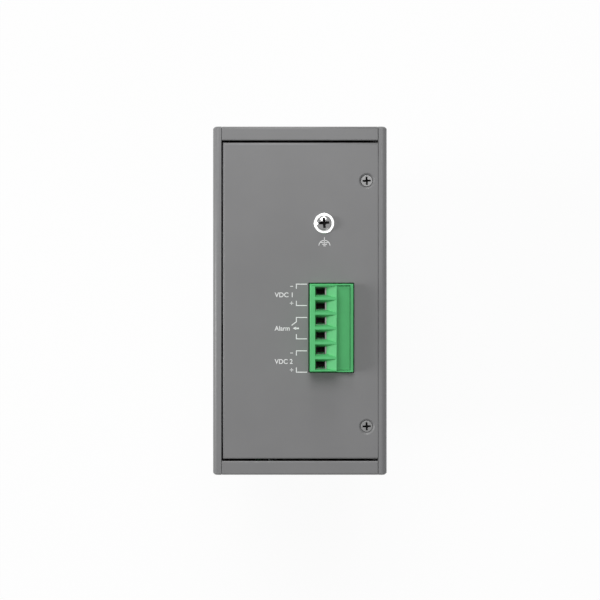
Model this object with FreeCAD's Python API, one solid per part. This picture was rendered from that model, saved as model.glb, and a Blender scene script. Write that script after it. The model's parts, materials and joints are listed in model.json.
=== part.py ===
"""DIN-rail Ethernet switch in a metal case, with everything inside it. All sizes are in millimetres.

Frame: the origin is the centre of the case's base. Seen from the port side, +X is to the right,
+Y points back to the mounting rail and +Z points up. The plug-in power terminal is on the top.
"""
import FreeCAD
import Part
import math
import os

Vector = FreeCAD.Vector

X_AXIS = Vector(1, 0, 0)
Y_AXIS = Vector(0, 1, 0)
Z_AXIS = Vector(0, 0, 1)

# ---------------------------------------------------------------- driving dimensions: the case
CASE_WIDTH = 61.0
CASE_DEPTH = 122.0
CASE_HEIGHT = 160.0

PLATE_THICKNESS = 3.0
PLATE_EDGE_RADIUS = 2.0
PLATE_END_BEVEL = 0.6

SHEET = 0.8
BEND_INSIDE = 0.0
SHEET_EDGE_BEVEL = 0.25
SLIP = 0.15

END_FLANGE = 4.9
SIDE_FLANGE = 10.0
SIDE_FLANGE_SETBACK = 8.0

LID_FLANGE = 5.5
LID_END_GAP = 0.7
LID_LEFT_GAP = 0.5
LID_CORNER_SLIT = 0.5

TONGUE_WIDTH = 10.0
TONGUE_DROP = 4.0
TONGUE_REACH = 1.4
TONGUE_FRONT = -14.0
TONGUE_REAR = 30.0
TONGUE_PLAY = 0.3

RIGHT_LEDGE = 2.5
LEDGE_THICKNESS = 1.2
LEDGE_END_CLEARANCE = 0.8
LIP_HEIGHT = 1.6
LIP_WIDTH = 1.0
LIP_PLAY = 0.2

SNAP_ROWS = 3
SNAP_MARGIN = 20.0
SNAP_INSET = 4.0
SNAP_WIDTH = 3.0
SNAP_LENGTH = 7.0
SNAP_RISE = 1.2
SNAP_PLAY = 0.2

# ---------------------------------------------------------------- screws
M3_RADIUS = 1.5
M3_PAN_RADIUS = 2.65
M3_PAN_HEIGHT = 1.9
M25_RADIUS = 1.25
M25_FLAT_RADIUS = 2.25
THREAD_GAP = 0.08
HOLE_CLEARANCE = 0.2

LID_SCREW_INSET = 7.1
LID_SCREW_REAR_INSET = 13.4
LID_SCREW_FRONT_INSET = 11.4
LID_SCREW_LENGTH = 5.5
LID_SCREW_SINK = 0.4
LUG_REACH = 4.0
LUG_WIDTH = 9.0
LUG_DEPTH = 6.5
LUG_BORE_SPARE = 0.6

# ---------------------------------------------------------------- earth screw on the top panel
EARTH_X = 8.45
EARTH_REAR_INSET = 28.3
EARTH_SCREW_LENGTH = 6.0
WASHER_RADIUS = 3.55
WASHER_THICKNESS = 0.5
NUT_ACROSS_FLATS = 5.5
NUT_HEIGHT = 2.4

# ---------------------------------------------------------------- boards
BOARD_THICKNESS = 1.6
STANDOFF_LENGTH = 11.9
SPACER_LENGTH = 15.4
SPACER_ACROSS_FLATS = 5.5
SPACER_INSET = 5.0
BOARD_RIB = 1.5
BOARD_RIB_LIFT = 0.5
BOARD_RIB_HEIGHT = 3.0
BOARD_RIB_PLAY = 0.15
BOARD_RIB_MARGIN = 1.5
MAIN_BOARD_FRONT_CLEARANCE = 3.5
BOARD_REAR_CLEARANCE = 11.0
BOARD_TOP_CLEARANCE = 7.0
POWER_BOARD_JACK_CLEARANCE = 1.9
POWER_BOARD_HEIGHT = 96.0

# ---------------------------------------------------------------- plug-in power terminal
POLES = 6
POLE_PITCH = 5.08
TERMINAL_BOARD_INSET = 24.55
HEADER_SETBACK = 0.4
HEADER_WIDTH = 15.2
HEADER_SPARE_LENGTH = 0.2
HEADER_BACK_WALL = 0.75
HEADER_FRONT_WALL = 1.05
HEADER_END_WALL = 0.55
HEADER_FLOOR = 3.0
HEADER_DEPTH = 15.0
HEADER_RISE = 2.5
HEADER_WINDOW_GAP = 0.4
HEADER_EDGE_ROUNDING = 0.2
MATE_GAP = 0.15

PLUG_RISE = 8.0
PLUG_STEP_RISE = 1.9
RIDGE_WIDTH = 9.3
RIDGE_SETBACK = 0.05
RIDGE_EDGE_ROUNDING = 0.4
PLUG_FLOOR_GAP = 0.6

FUNNEL_DEPTH = 2.2
FUNNEL_WALL = 1.75
FUNNEL_RIM = 0.25
FUNNEL_RIB = 0.8
WIRE_HOLE_X = 3.65
WIRE_HOLE_Y = 2.6
WIRE_HOLE_SETBACK = 0.3
WIRE_HOLE_LAND = 0.4

CAGE_X = 4.15
CAGE_Y = 3.2
CAGE_Z = 3.4
CAGE_WALL = 0.35
CAGE_NUT_WALL = 0.6
CAGE_COLLAR = 0.9
CAGE_PLAY = 0.1
CLAMP_SCREW_RADIUS = 1.3
CLAMP_SCREW_RECESS = 0.7
CLAMP_HOLE_RADIUS = 1.4

PIN_SIZE = 1.0
PIN_RISE = 7.0
PIN_FLOOR_DROP = 1.0
PIN_TAIL = 0.8
PIN_HOLE_GAP = 0.15
PIN_LINE = 7.1
CONTACT_SHEET = 0.4
CONTACT_WIDTH = 1.6
CONTACT_PIN_GAP = 0.1

# ---------------------------------------------------------------- RJ45 jack, 2 columns of ports
PORT_ROWS = 4
PORT_PITCH = 14.0
PORT_WIDTH = 11.7
PORT_HEIGHT = 6.8
PORT_DEPTH = 14.0
PORT_TAB_WIDTH = 6.2
PORT_TAB_HEIGHT = 1.7
PORT_NOTCH_WIDTH = 4.0
PORT_NOTCH_HEIGHT = 1.1
PORT_LOWER_OFFSET = 6.9
PORT_UPPER_OFFSET = 19.3
JACK_HEIGHT = 26.0
JACK_DEPTH = 25.4
JACK_END_MARGIN = 1.4
JACK_CENTRE = 82.0
JACK_SHEET = 0.3
PORT_CONTACTS = 8
PORT_CONTACT_PITCH = 1.02
PORT_CONTACT_WIDTH = 0.5
PORT_CONTACT_THICKNESS = 0.35
PORT_CONTACT_START = 3.0
PORT_CONTACT_RUN = 7.5
PORT_CONTACT_RISE = 2.1
CONNECTOR_PROUD = 0.3
PANEL_WINDOW_GAP = 0.3

# ---------------------------------------------------------------- SFP cage, 2 slots
SLOT_WIDTH = 13.9
SLOT_HEIGHT = 8.8
SLOT_LOWER_OFFSET = 5.6
SLOT_UPPER_OFFSET = 17.0
CAGE_SHEET = 0.4
SFP_HEIGHT = 22.6
SFP_DEPTH = 49.0
SFP_CENTRE = 34.0
SFP_REAR_WALL = 0.4
SFP_CONNECTOR_LENGTH = 8.0
SFP_CONNECTOR_WIDTH = 11.6
SFP_CONNECTOR_HEIGHT = 5.4
SFP_CARD_SLOT_WIDTH = 9.2
SFP_CARD_SLOT_HEIGHT = 1.2
SFP_CARD_SLOT_DEPTH = 6.0

# ---------------------------------------------------------------- status lights
STATUS_LIGHTS = 5
STATUS_PITCH = 6.0
STATUS_CENTRE = 129.0
STATUS_OFFSET = 3.4
LIGHT_PIPE_WIDTH = 2.0
LIGHT_PIPE_HEIGHT = 3.4
LIGHT_PIPE_GAP = 0.15
LIGHT_PIPE_PROUD = 0.3
LIGHT_PIPE_BAR = 2.0
LIGHT_PIPE_LENGTH = 12.0
LIGHT_PIPE_END_MARGIN = 2.6
STATUS_LED_SIZE = 1.6
STATUS_LED_GAP = 0.3

# ---------------------------------------------------------------- DIN-rail clip on the rear panel
RAIL_WIDTH = 35.0
RAIL_SHEET = 1.0
RAIL_CENTRE = 85.0
RAIL_PLAY = 0.2
CLIP_SHEET = 1.5
CLIP_BEND_INSIDE = 0.4
CHANNEL_DEPTH = 2.0
CHANNEL_WIDTH = 25.0
CHANNEL_RAMP = 1.6
CLIP_FOOT = 10.0
CLIP_BELOW_RAIL = 9.5
CLIP_ABOVE_RAIL = 13.5
HOOK_WIDTH = 6.0
HOOK_SPREAD = 8.5
HOOK_LIP = 2.3
HOOK_GAP = 0.4
HOOK_ROOT = 4.0
HOOK_SLOT_MARGIN = 0.5
HOOK_SLOT_LENGTH = 8.4
CLIP_CORNER = 3.0
CLIP_SCREW_INSET = 4.6
CLIP_SCREW_LENGTH = 5.0

LATCH_TRAVEL = 6.0
LATCH_PLAY = 0.15
LATCH_SIDE_PLAY = 0.3
LATCH_REACH = 15.0
LATCH_HEAD = 4.0
NOSE_WIDTH = 10.0
NOSE_LIP = 2.1
NOSE_LIP_THICKNESS = 1.9
NOSE_RAMP = 1.4
NOSE_RADIUS = 0.5
NOSE_ROOT = 7.3
NOSE_SLOT_MARGIN = 1.0
NOSE_SLOT_RADIUS = 1.5
LATCH_SINK = 0.5
LATCH_FOOT_RADIUS = 2.0
TAB_INSET = 2.0
TAB_EDGE_RADIUS = 0.8
TAB_THICKNESS = 3.4
TAB_HEIGHT = 9.0
TAB_SLOT_WIDTH = 8.0
TAB_SLOT_HEIGHT = 3.2
TAB_SLOT_INSET = 2.6
WINDOW_WIDTH = 12.0
WINDOW_LIFT = 5.9
TANG_WIDTH = 7.0
TANG_GAP = 0.3
TANG_END_GAP = 0.3
SPRING_STRIP = 0.5
SPRING_DEPTH = 1.2
SPRING_WIDTH = 9.0
SPRING_LEVELS = 3
SPRING_SHUT_LENGTH = 10.0
SPRING_END_GAP = 0.1

# ---------------------------------------------------------------- planes that follow from the above
LEFT = -CASE_WIDTH / 2
RIGHT = CASE_WIDTH / 2
FRONT = -CASE_DEPTH / 2
REAR = CASE_DEPTH / 2
TOP = CASE_HEIGHT
LEFT_INNER = LEFT + PLATE_THICKNESS
RIGHT_INNER = RIGHT - PLATE_THICKNESS
BEND_OUTSIDE = BEND_INSIDE + SHEET
PANEL_HALF_WIDTH = RIGHT_INNER - SLIP

CONNECTOR_FACE = FRONT - CONNECTOR_PROUD
JACK_BACK = CONNECTOR_FACE + JACK_DEPTH

LID_LEFT = LEFT_INNER + LID_LEFT_GAP
LID_END = REAR - END_FLANGE - LID_END_GAP
LID_UNDERSIDE = TOP - SHEET
LID_FLANGE_BASE = TOP - LID_FLANGE
LID_SCREW_X = RIGHT - LID_SCREW_INSET
EARTH_Y = LID_END - EARTH_REAR_INSET

MAIN_BACK = LEFT_INNER + STANDOFF_LENGTH
MAIN_FACE = MAIN_BACK + BOARD_THICKNESS
MAIN_BOARD_FRONT = FRONT + MAIN_BOARD_FRONT_CLEARANCE
MAIN_BOARD_BASE = LID_FLANGE + BOARD_RIB_LIFT + BOARD_RIB + BOARD_RIB_PLAY
BOARD_REAR = REAR - BOARD_REAR_CLEARANCE
BOARD_TOP = TOP - BOARD_TOP_CLEARANCE
POWER_BOARD_FRONT = JACK_BACK + POWER_BOARD_JACK_CLEARANCE
POWER_BOARD_BASE = BOARD_TOP - POWER_BOARD_HEIGHT
POWER_BACK = MAIN_FACE + SPACER_LENGTH
POWER_FACE = POWER_BACK + BOARD_THICKNESS
LEDGE_HALF = REAR - SIDE_FLANGE - LEDGE_END_CLEARANCE

TERMINAL_Y = POWER_BOARD_FRONT + TERMINAL_BOARD_INSET
HEADER_LEFT = POWER_FACE + HEADER_SETBACK
HEADER_RIGHT = HEADER_LEFT + HEADER_WIDTH
HEADER_HALF = (POLES * POLE_PITCH + HEADER_SPARE_LENGTH) / 2
HEADER_TOP = TOP + HEADER_RISE
HEADER_BASE = HEADER_TOP - HEADER_DEPTH
RIDGE_LEFT = HEADER_LEFT + RIDGE_SETBACK
RIDGE_RIGHT = RIDGE_LEFT + RIDGE_WIDTH
PLUG_TOP = TOP + PLUG_RISE
PLUG_STEP = TOP + PLUG_STEP_RISE
PLUG_LEFT = HEADER_LEFT + HEADER_BACK_WALL + MATE_GAP
PLUG_RIGHT = HEADER_RIGHT - HEADER_FRONT_WALL - MATE_GAP
PLUG_HALF = HEADER_HALF - HEADER_END_WALL - MATE_GAP
PLUG_BASE = HEADER_BASE + HEADER_FLOOR + PLUG_FLOOR_GAP
FUNNEL_FLOOR = PLUG_TOP - FUNNEL_DEPTH
WIRE_HOLE_LEFT = RIDGE_LEFT + FUNNEL_WALL + WIRE_HOLE_SETBACK
WIRE_HOLE_RIGHT = WIRE_HOLE_LEFT + WIRE_HOLE_X
CAGE_TOP = FUNNEL_FLOOR - WIRE_HOLE_LAND - CAGE_PLAY
CAGE_BASE = CAGE_TOP - CAGE_Z
CAGE_RIGHT = WIRE_HOLE_RIGHT + CAGE_PLAY
CAGE_LEFT = CAGE_RIGHT - CAGE_X
CLAMP_AXIS = CAGE_BASE + CAGE_Z / 2
COLLAR_END = CAGE_RIGHT + CAGE_COLLAR
PIN_X = HEADER_LEFT + PIN_LINE
POLE_YS = [TERMINAL_Y + (pole - (POLES - 1) / 2) * POLE_PITCH for pole in range(POLES)]

JACK_HALF = PORT_ROWS * PORT_PITCH / 2 + JACK_END_MARGIN
JACK_BASE = JACK_CENTRE - JACK_HALF
JACK_TOP = JACK_CENTRE + JACK_HALF
PORT_ZS = [JACK_CENTRE + (row - (PORT_ROWS - 1) / 2) * PORT_PITCH for row in range(PORT_ROWS)]

SFP_HALF = SLOT_WIDTH / 2 + CAGE_SHEET
SFP_BACK = CONNECTOR_FACE + SFP_DEPTH

STATUS_ZS = [STATUS_CENTRE + (row - (STATUS_LIGHTS - 1) / 2) * STATUS_PITCH for row in range(STATUS_LIGHTS)]
STATUS_X = MAIN_FACE + STATUS_OFFSET
LIGHT_PIPE_BACK = FRONT + LIGHT_PIPE_LENGTH

FOOT_FACE = REAR + CLIP_SHEET
CHANNEL_ROOF = REAR + CHANNEL_DEPTH
RAIL_SEAT = CHANNEL_ROOF + CLIP_SHEET
RAIL_TOP = RAIL_CENTRE + RAIL_WIDTH / 2
RAIL_BASE = RAIL_CENTRE - RAIL_WIDTH / 2
LIP_FACE = RAIL_SEAT + RAIL_SHEET + HOOK_GAP
HOOK_ROOF = RAIL_TOP + RAIL_PLAY
NOSE_SHELF = RAIL_BASE - RAIL_PLAY
CLIP_BASE = RAIL_BASE - CLIP_BELOW_RAIL
CLIP_TOP = RAIL_TOP + CLIP_ABOVE_RAIL
WINDOW_BASE = NOSE_SHELF + WINDOW_LIFT
TANG_BASE = WINDOW_BASE + TANG_GAP
TANG_TOP = TANG_BASE + CLIP_SHEET
WINDOW_TOP = TANG_TOP + LATCH_TRAVEL + SPRING_SHUT_LENGTH
LATCH_BASE = CLIP_BASE - LATCH_REACH
LATCH_TOP = WINDOW_TOP + LATCH_HEAD
LATCH_NEAR = REAR + LATCH_PLAY
LATCH_FAR = CHANNEL_ROOF - LATCH_PLAY


LID_SCREW_YS = [LID_SCREW_FRONT_INSET - LID_END, LID_END - LID_SCREW_REAR_INSET]
TONGUE_YS = [TONGUE_FRONT, TONGUE_REAR]
SPACER_YS = [POWER_BOARD_FRONT + SPACER_INSET, BOARD_REAR - SPACER_INSET]
SPACER_ZS = [POWER_BOARD_BASE + SPACER_INSET, BOARD_TOP - SPACER_INSET]
SPACER_POINTS = [(y, z) for y in SPACER_YS for z in SPACER_ZS]
SNAP_STEP = (CASE_HEIGHT - 2 * SNAP_MARGIN) / (SNAP_ROWS - 1)
SNAP_ZS = [SNAP_MARGIN + row * SNAP_STEP for row in range(SNAP_ROWS)]
CLIP_HALF = CHANNEL_WIDTH / 2 + CHANNEL_RAMP + CLIP_SHEET + CLIP_FOOT
CLIP_SCREW_X = CLIP_HALF - CLIP_SCREW_INSET
CLIP_SCREW_Z = (CLIP_BASE + CLIP_TOP) / 2


# ---------------------------------------------------------------- modelling helpers
def block(x_range, y_range, z_range):
    """Box between two values on each axis."""
    size = [end - start for start, end in (x_range, y_range, z_range)]
    return Part.makeBox(*size, Vector(x_range[0], y_range[0], z_range[0]))


def around(centre, width):
    """The range of the given width about a centre."""
    return centre - width / 2, centre + width / 2


def cylinder(start, direction, radius, length):
    return Part.makeCylinder(radius, length, start, direction)


def cone(start, direction, start_radius, end_radius):
    """Frustum with 45-degree sides."""
    return Part.makeCone(start_radius, end_radius, abs(start_radius - end_radius), start, direction)


def joined(shapes):
    """One solid from several that meet or overlap."""
    shapes = list(shapes)
    return shapes[0].multiFuse(shapes[1:]).removeSplitter()


def without(body, tools):
    """The body with every tool cut out of it."""
    return body.cut(list(tools))


def mirrored(shape, normal):
    """Mirror image about one of the case's upright middle planes."""
    return shape.mirror(Vector(0, 0, 0), normal)


def upside_down(shape):
    """Mirror image about the case's mid height."""
    return shape.mirror(Vector(0, 0, TOP / 2), Z_AXIS)


def corner_arc(before, corner, after, radius):
    """Start, middle and end of the arc that rounds a corner of a flat outline."""
    to_before = (before - corner).normalize()
    to_after = (after - corner).normalize()
    half_angle = to_before.getAngle(to_after) / 2
    bisector = (to_before + to_after).normalize()
    centre = corner + bisector * (radius / math.sin(half_angle))
    reach = radius / math.tan(half_angle)
    return corner + to_before * reach, centre - bisector * radius, corner + to_after * reach


def outline(corners, place):
    """Closed wire through (u, v) or (u, v, radius) corners. place(u, v) is the point in space."""
    points = [Vector(corner[0], corner[1], 0) for corner in corners]
    stations = []
    for index, corner in enumerate(corners):
        point = points[index]
        if len(corner) > 2 and corner[2] > 0:
            after = points[(index + 1) % len(points)]
            stations.append(corner_arc(points[index - 1], point, after, corner[2]))
        else:
            stations.append((point, point, point))
    edges = []
    for index, (start, middle, end) in enumerate(stations):
        if start.distanceToPoint(end) > 1e-6:
            edges.append(Part.Arc(place(start), place(middle), place(end)).toShape())
        following = stations[(index + 1) % len(stations)][0]
        if end.distanceToPoint(following) > 1e-6:
            edges.append(Part.makeLine(place(end), place(following)))
    return Part.Wire(edges)


def prism(corners, plane, across):
    """Solid with a flat outline in the plane "xy", "xz" or "yz", between two values across it."""
    low, high = across
    if plane == "xy":
        wire = outline(corners, lambda point: Vector(point.x, point.y, low))
        return Part.Face(wire).extrude(Z_AXIS * (high - low))
    if plane == "xz":
        wire = outline(corners, lambda point: Vector(point.x, low, point.y))
        return Part.Face(wire).extrude(Y_AXIS * (high - low))
    wire = outline(corners, lambda point: Vector(low, point.x, point.y))
    return Part.Face(wire).extrude(X_AXIS * (high - low))


def turned(corners, base, direction):
    """Solid of revolution from (radius, height) or (radius, height, rounding) corners."""
    wire = outline(corners, lambda point: Vector(point.x, 0, point.y))
    solid = Part.Face(wire).revolve(Vector(0, 0, 0), Z_AXIS, 360)
    solid.Placement = FreeCAD.Placement(base, FreeCAD.Rotation(Z_AXIS, direction))
    return solid


def folded(path, thickness, bend_inside=None):
    """Outline of a bent strip. The path runs along one face and the strip lies to its right.

    Without an inside radius its corners are sharp.
    """
    points = [Vector(u, v, 0) for u, v in path]
    headings = [(after - before).normalize() for before, after in zip(points, points[1:])]
    near = []
    far = []
    for index, point in enumerate(points):
        arriving = headings[max(index - 1, 0)]
        leaving = headings[min(index, len(headings) - 1)]
        right_in = Vector(arriving.y, -arriving.x, 0)
        right_out = Vector(leaving.y, -leaving.x, 0)
        shift = (right_in + right_out) * (thickness / (1 + right_in.dot(right_out)))
        turn = arriving.x * leaving.y - arriving.y * leaving.x
        near_radius = 0.0
        far_radius = 0.0
        if bend_inside is not None and turn > 1e-9:
            near_radius = bend_inside
            far_radius = bend_inside + thickness
        elif bend_inside is not None and turn < -1e-9:
            near_radius = bend_inside + thickness
            far_radius = bend_inside
        near.append((point.x, point.y, near_radius))
        far.append((point.x + shift.x, point.y + shift.y, far_radius))
    return near + far[::-1]


def hopper(low, high):
    """Four-sided frustum between two level rectangles, each (x_range, y_range, z)."""
    rings = []
    for x_range, y_range, z in (low, high):
        corners = [(0, 0), (1, 0), (1, 1), (0, 1)]
        rings.append([Vector(x_range[i], y_range[j], z) for i, j in corners])
    quads = [rings[0], rings[1]]
    for i in range(4):
        j = (i + 1) % 4
        quads.append([rings[0][i], rings[0][j], rings[1][j], rings[1][i]])
    faces = [Part.Face(Part.makePolygon(quad + quad[:1])) for quad in quads]
    solid = Part.Solid(Part.Shell(faces))
    return solid if solid.Volume > 0 else solid.reversed()


def bevelled(shape, size, chosen):
    """Chamfer of the edges whose midpoint passes the test."""
    edges = [edge for edge in shape.Edges if chosen(edge.valueAt(sum(edge.ParameterRange) / 2))]
    return shape.makeChamfer(size, edges)


def rounded(shape, radius, chosen):
    """Fillet of the edges whose midpoint passes the test."""
    edges = [edge for edge in shape.Edges if chosen(edge.valueAt(sum(edge.ParameterRange) / 2))]
    return shape.makeFillet(radius, edges)


def hexagon(across_flats):
    """Corners of a regular hexagon about the origin."""
    radius = across_flats / math.sqrt(3)
    angles = [math.radians(60 * side) for side in range(6)]
    return [(radius * math.cos(angle), radius * math.sin(angle)) for angle in angles]


# ---------------------------------------------------------------- screws and their holes
def flat_screw(face):
    """Countersunk M2.5 screw, tip down. face is the centre of its head's flat side."""
    head = cone(face, -Z_AXIS, M25_FLAT_RADIUS, M25_RADIUS)
    return joined([head, cylinder(face, -Z_AXIS, M25_RADIUS, LID_SCREW_LENGTH)])


def flat_screw_hole(surface, depth):
    """Countersunk hole for a screw whose head lies a little below the surface."""
    mouth = cone(surface, -Z_AXIS, M25_FLAT_RADIUS + LID_SCREW_SINK + THREAD_GAP, M25_RADIUS + THREAD_GAP)
    return joined([mouth, cylinder(surface, -Z_AXIS, M25_RADIUS + THREAD_GAP, depth)])


def pan_screw(seat, direction, length):
    """M3 pan-head screw. seat is where the head bears, direction points to its tip."""
    head_top = seat - direction * M3_PAN_HEIGHT
    head = cylinder(head_top, direction, M3_PAN_RADIUS, M3_PAN_HEIGHT)
    return joined([head, cylinder(seat, direction, M3_RADIUS, length)])


# ---------------------------------------------------------------- cast side plates
def snap_noses():
    """Ramped noses inside the right-hand plate that click into the end panels' side flanges."""
    start = REAR - SNAP_INSET - SNAP_WIDTH
    nose = [
        (RIGHT_INNER, start),
        (RIGHT_INNER - SNAP_RISE, start),
        (RIGHT_INNER - SNAP_RISE, start + SNAP_WIDTH / 3),
        (RIGHT_INNER, start + SNAP_WIDTH),
    ]
    at_rear = [prism(nose, "xy", around(z, SNAP_LENGTH)) for z in SNAP_ZS]
    return at_rear + [mirrored(shape, Y_AXIS) for shape in at_rear]


def plate_slab():
    """Right-hand plate without its shelves: rounded long edges, bevelled ends, snap noses inside."""
    section = [
        (RIGHT_INNER, 0),
        (RIGHT, 0, PLATE_EDGE_RADIUS),
        (RIGHT, TOP, PLATE_EDGE_RADIUS),
        (RIGHT_INNER, TOP),
    ]
    slab = prism(section, "xz", (FRONT, REAR))
    slab = bevelled(slab, PLATE_END_BEVEL, lambda at: REAR - abs(at.y) < 1e-6 and at.x > RIGHT_INNER + 1e-3)
    return joined([slab] + snap_noses())


def lip_shelf():
    """Shelf on the right-hand plate under a hooked panel's flange, with a lip behind the flange."""
    flange_back = RIGHT_INNER - LID_LEFT_GAP - SHEET - LIP_PLAY
    end = flange_back - LIP_WIDTH
    top = LID_FLANGE_BASE
    section = [
        (RIGHT_INNER, top),
        (flange_back, top),
        (flange_back, top + LIP_HEIGHT),
        (end, top + LIP_HEIGHT),
        (end, top - LEDGE_THICKNESS),
        (RIGHT_INNER, top - LEDGE_THICKNESS - (RIGHT_INNER - end)),
    ]
    return prism(section, "xz", (-LEDGE_HALF, LEDGE_HALF))


def tongue_ways():
    """Gaps in the right-hand shelf and pockets in its plate for a hooked panel's tongues."""
    pocket_top = LID_FLANGE_BASE - TONGUE_DROP + TONGUE_PLAY
    pocket_base = LID_FLANGE_BASE - TONGUE_DROP - SHEET - TONGUE_PLAY
    pocket_depth = TONGUE_REACH - LID_LEFT_GAP + TONGUE_PLAY
    ways = []
    for y in TONGUE_YS:
        y_range = around(y, TONGUE_WIDTH + 2 * TONGUE_PLAY)
        ways.append(block((0, RIGHT_INNER), y_range, (TOP / 2, LID_FLANGE_BASE + LIP_HEIGHT)))
        ways.append(block((RIGHT_INNER, RIGHT_INNER + pocket_depth), y_range, (pocket_base, pocket_top)))
    return ways


def board_rib():
    """Stepped rib low on the left plate: it carries the main board's lower edge, between the tongues."""
    edge = MAIN_BOARD_BASE - BOARD_RIB_PLAY
    section = [
        (LEFT_INNER, edge - BOARD_RIB),
        (MAIN_FACE + BOARD_RIB_HEIGHT, edge - BOARD_RIB),
        (MAIN_FACE + BOARD_RIB_HEIGHT, edge),
        (MAIN_BACK, edge),
        (MAIN_BACK, edge + BOARD_RIB),
        (LEFT_INNER, edge + BOARD_RIB),
    ]
    clear = TONGUE_WIDTH / 2 + BOARD_RIB_MARGIN
    return prism(section, "xz", (TONGUE_FRONT + clear, TONGUE_REAR - clear))


def left_side_plate():
    """Left plate: both panels hook into it, and the main board stands on its rib."""
    plate = joined([plate_slab(), lip_shelf(), upside_down(lip_shelf())])
    ways = tongue_ways()
    plate = without(plate, ways + [upside_down(way) for way in ways])
    return joined([mirrored(plate, X_AXIS), board_rib()])


def lid_shelf():
    """Shelf with a 45-degree underside and two screw lugs, under the top panel's flat edge."""
    section = [
        (RIGHT_INNER, LID_UNDERSIDE),
        (RIGHT_INNER - RIGHT_LEDGE, LID_UNDERSIDE),
        (RIGHT_INNER - RIGHT_LEDGE, LID_UNDERSIDE - LEDGE_THICKNESS),
        (RIGHT_INNER, LID_UNDERSIDE - LEDGE_THICKNESS - RIGHT_LEDGE),
    ]
    lug_end = LID_SCREW_X - LUG_REACH
    lug_section = [
        (RIGHT_INNER, LID_UNDERSIDE),
        (lug_end, LID_UNDERSIDE),
        (lug_end, LID_UNDERSIDE - LUG_DEPTH),
        (RIGHT_INNER, LID_UNDERSIDE - LUG_DEPTH - (RIGHT_INNER - lug_end)),
    ]
    shelf = prism(section, "xz", (-LEDGE_HALF, LEDGE_HALF))
    return joined([shelf] + [prism(lug_section, "xz", around(y, LUG_WIDTH)) for y in LID_SCREW_YS])


def right_side_plate():
    """Right plate: the top panel is screwed to its shelf and the bottom panel hooks into it."""
    plate = joined([plate_slab(), lid_shelf(), upside_down(lip_shelf())])
    depth = LID_SCREW_SINK + LID_SCREW_LENGTH + LUG_BORE_SPARE
    bores = [flat_screw_hole(Vector(LID_SCREW_X, y, TOP), depth) for y in LID_SCREW_YS]
    return without(plate, bores + [upside_down(way) for way in tongue_ways()])


# ---------------------------------------------------------------- folded end panels
def snap_windows():
    """Windows in an end panel's side flanges for the plates' noses."""
    start = REAR - SNAP_INSET - SNAP_WIDTH - SNAP_PLAY
    y_range = (start, start + SNAP_WIDTH + 2 * SNAP_PLAY)
    windows = []
    for z in SNAP_ZS:
        z_range = around(z, SNAP_LENGTH + 2 * SNAP_PLAY)
        windows.append(block((RIGHT_INNER - SLIP - 2 * SHEET, RIGHT_INNER), y_range, z_range))
    return windows + [mirrored(window, X_AXIS) for window in windows]


def end_panel():
    """Rear panel: web, short top and bottom flanges, long side flanges with windows for the noses."""
    half = PANEL_HALF_WIDTH
    lip = REAR - END_FLANGE
    tall = folded([(lip, TOP), (REAR, TOP), (REAR, 0), (lip, 0)], SHEET, BEND_INSIDE)
    web = prism(tall, "yz", (-half, half))
    web = bevelled(web, SHEET_EDGE_BEVEL, lambda at: abs(at.y - lip) < 1e-6 and min(at.z, TOP - at.z) < 1e-6)
    flange_end = REAR - SIDE_FLANGE
    wide = folded([(-half, flange_end), (-half, REAR), (half, REAR), (half, flange_end)], SHEET)
    flanges = prism(wide, "xy", (SIDE_FLANGE_SETBACK, TOP - SIDE_FLANGE_SETBACK))
    return without(joined([web, flanges]), snap_windows())


def rear_panel():
    """Rear panel with the two tapped holes for the clip's screws."""
    radius = M3_RADIUS + THREAD_GAP
    mouths = [Vector(side * CLIP_SCREW_X, REAR + 1, CLIP_SCREW_Z) for side in (-1, 1)]
    return without(end_panel(), [cylinder(mouth, -Y_AXIS, radius, SHEET + 2) for mouth in mouths])


def front_panel():
    """Front panel: the rear one mirrored, with windows for the jack, the cage and the light pipes."""
    through = (FRONT - 1, FRONT + SHEET + 1)
    gap = PANEL_WINDOW_GAP
    jack_window = block((MAIN_FACE - gap, MAIN_FACE + JACK_HEIGHT + gap), through,
                        (JACK_BASE - gap, JACK_TOP + gap))
    sfp_window = block((MAIN_FACE - gap, MAIN_FACE + SFP_HEIGHT + gap), through,
                       around(SFP_CENTRE, 2 * (SFP_HALF + gap)))
    holes = [block(around(STATUS_X, LIGHT_PIPE_WIDTH + 2 * LIGHT_PIPE_GAP), through,
                   around(z, LIGHT_PIPE_HEIGHT + 2 * LIGHT_PIPE_GAP)) for z in STATUS_ZS]
    return without(mirrored(end_panel(), Y_AXIS), [jack_window, sfp_window] + holes)


# ---------------------------------------------------------------- top and bottom panels
def tongues():
    """Tongues down from the panel's left flange, bent outwards to hook into the left plate."""
    shelf = LID_FLANGE_BASE - TONGUE_DROP
    path = [(LID_LEFT - TONGUE_REACH, shelf), (LID_LEFT, shelf), (LID_LEFT, LID_FLANGE_BASE + SHEET)]
    return [prism(folded(path, SHEET), "xz", around(y, TONGUE_WIDTH)) for y in TONGUE_YS]


def corner_slits():
    """Narrow gaps between the left flange and the end flanges of a folded panel."""
    x_range = (LID_LEFT - 1, LID_LEFT + SHEET)
    z_range = (LID_FLANGE_BASE - 1, TOP - BEND_OUTSIDE)
    end = LID_END - SHEET
    return [block(x_range, (end - LID_CORNER_SLIT, end), z_range),
            block(x_range, (-end, LID_CORNER_SLIT - end), z_range)]


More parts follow.
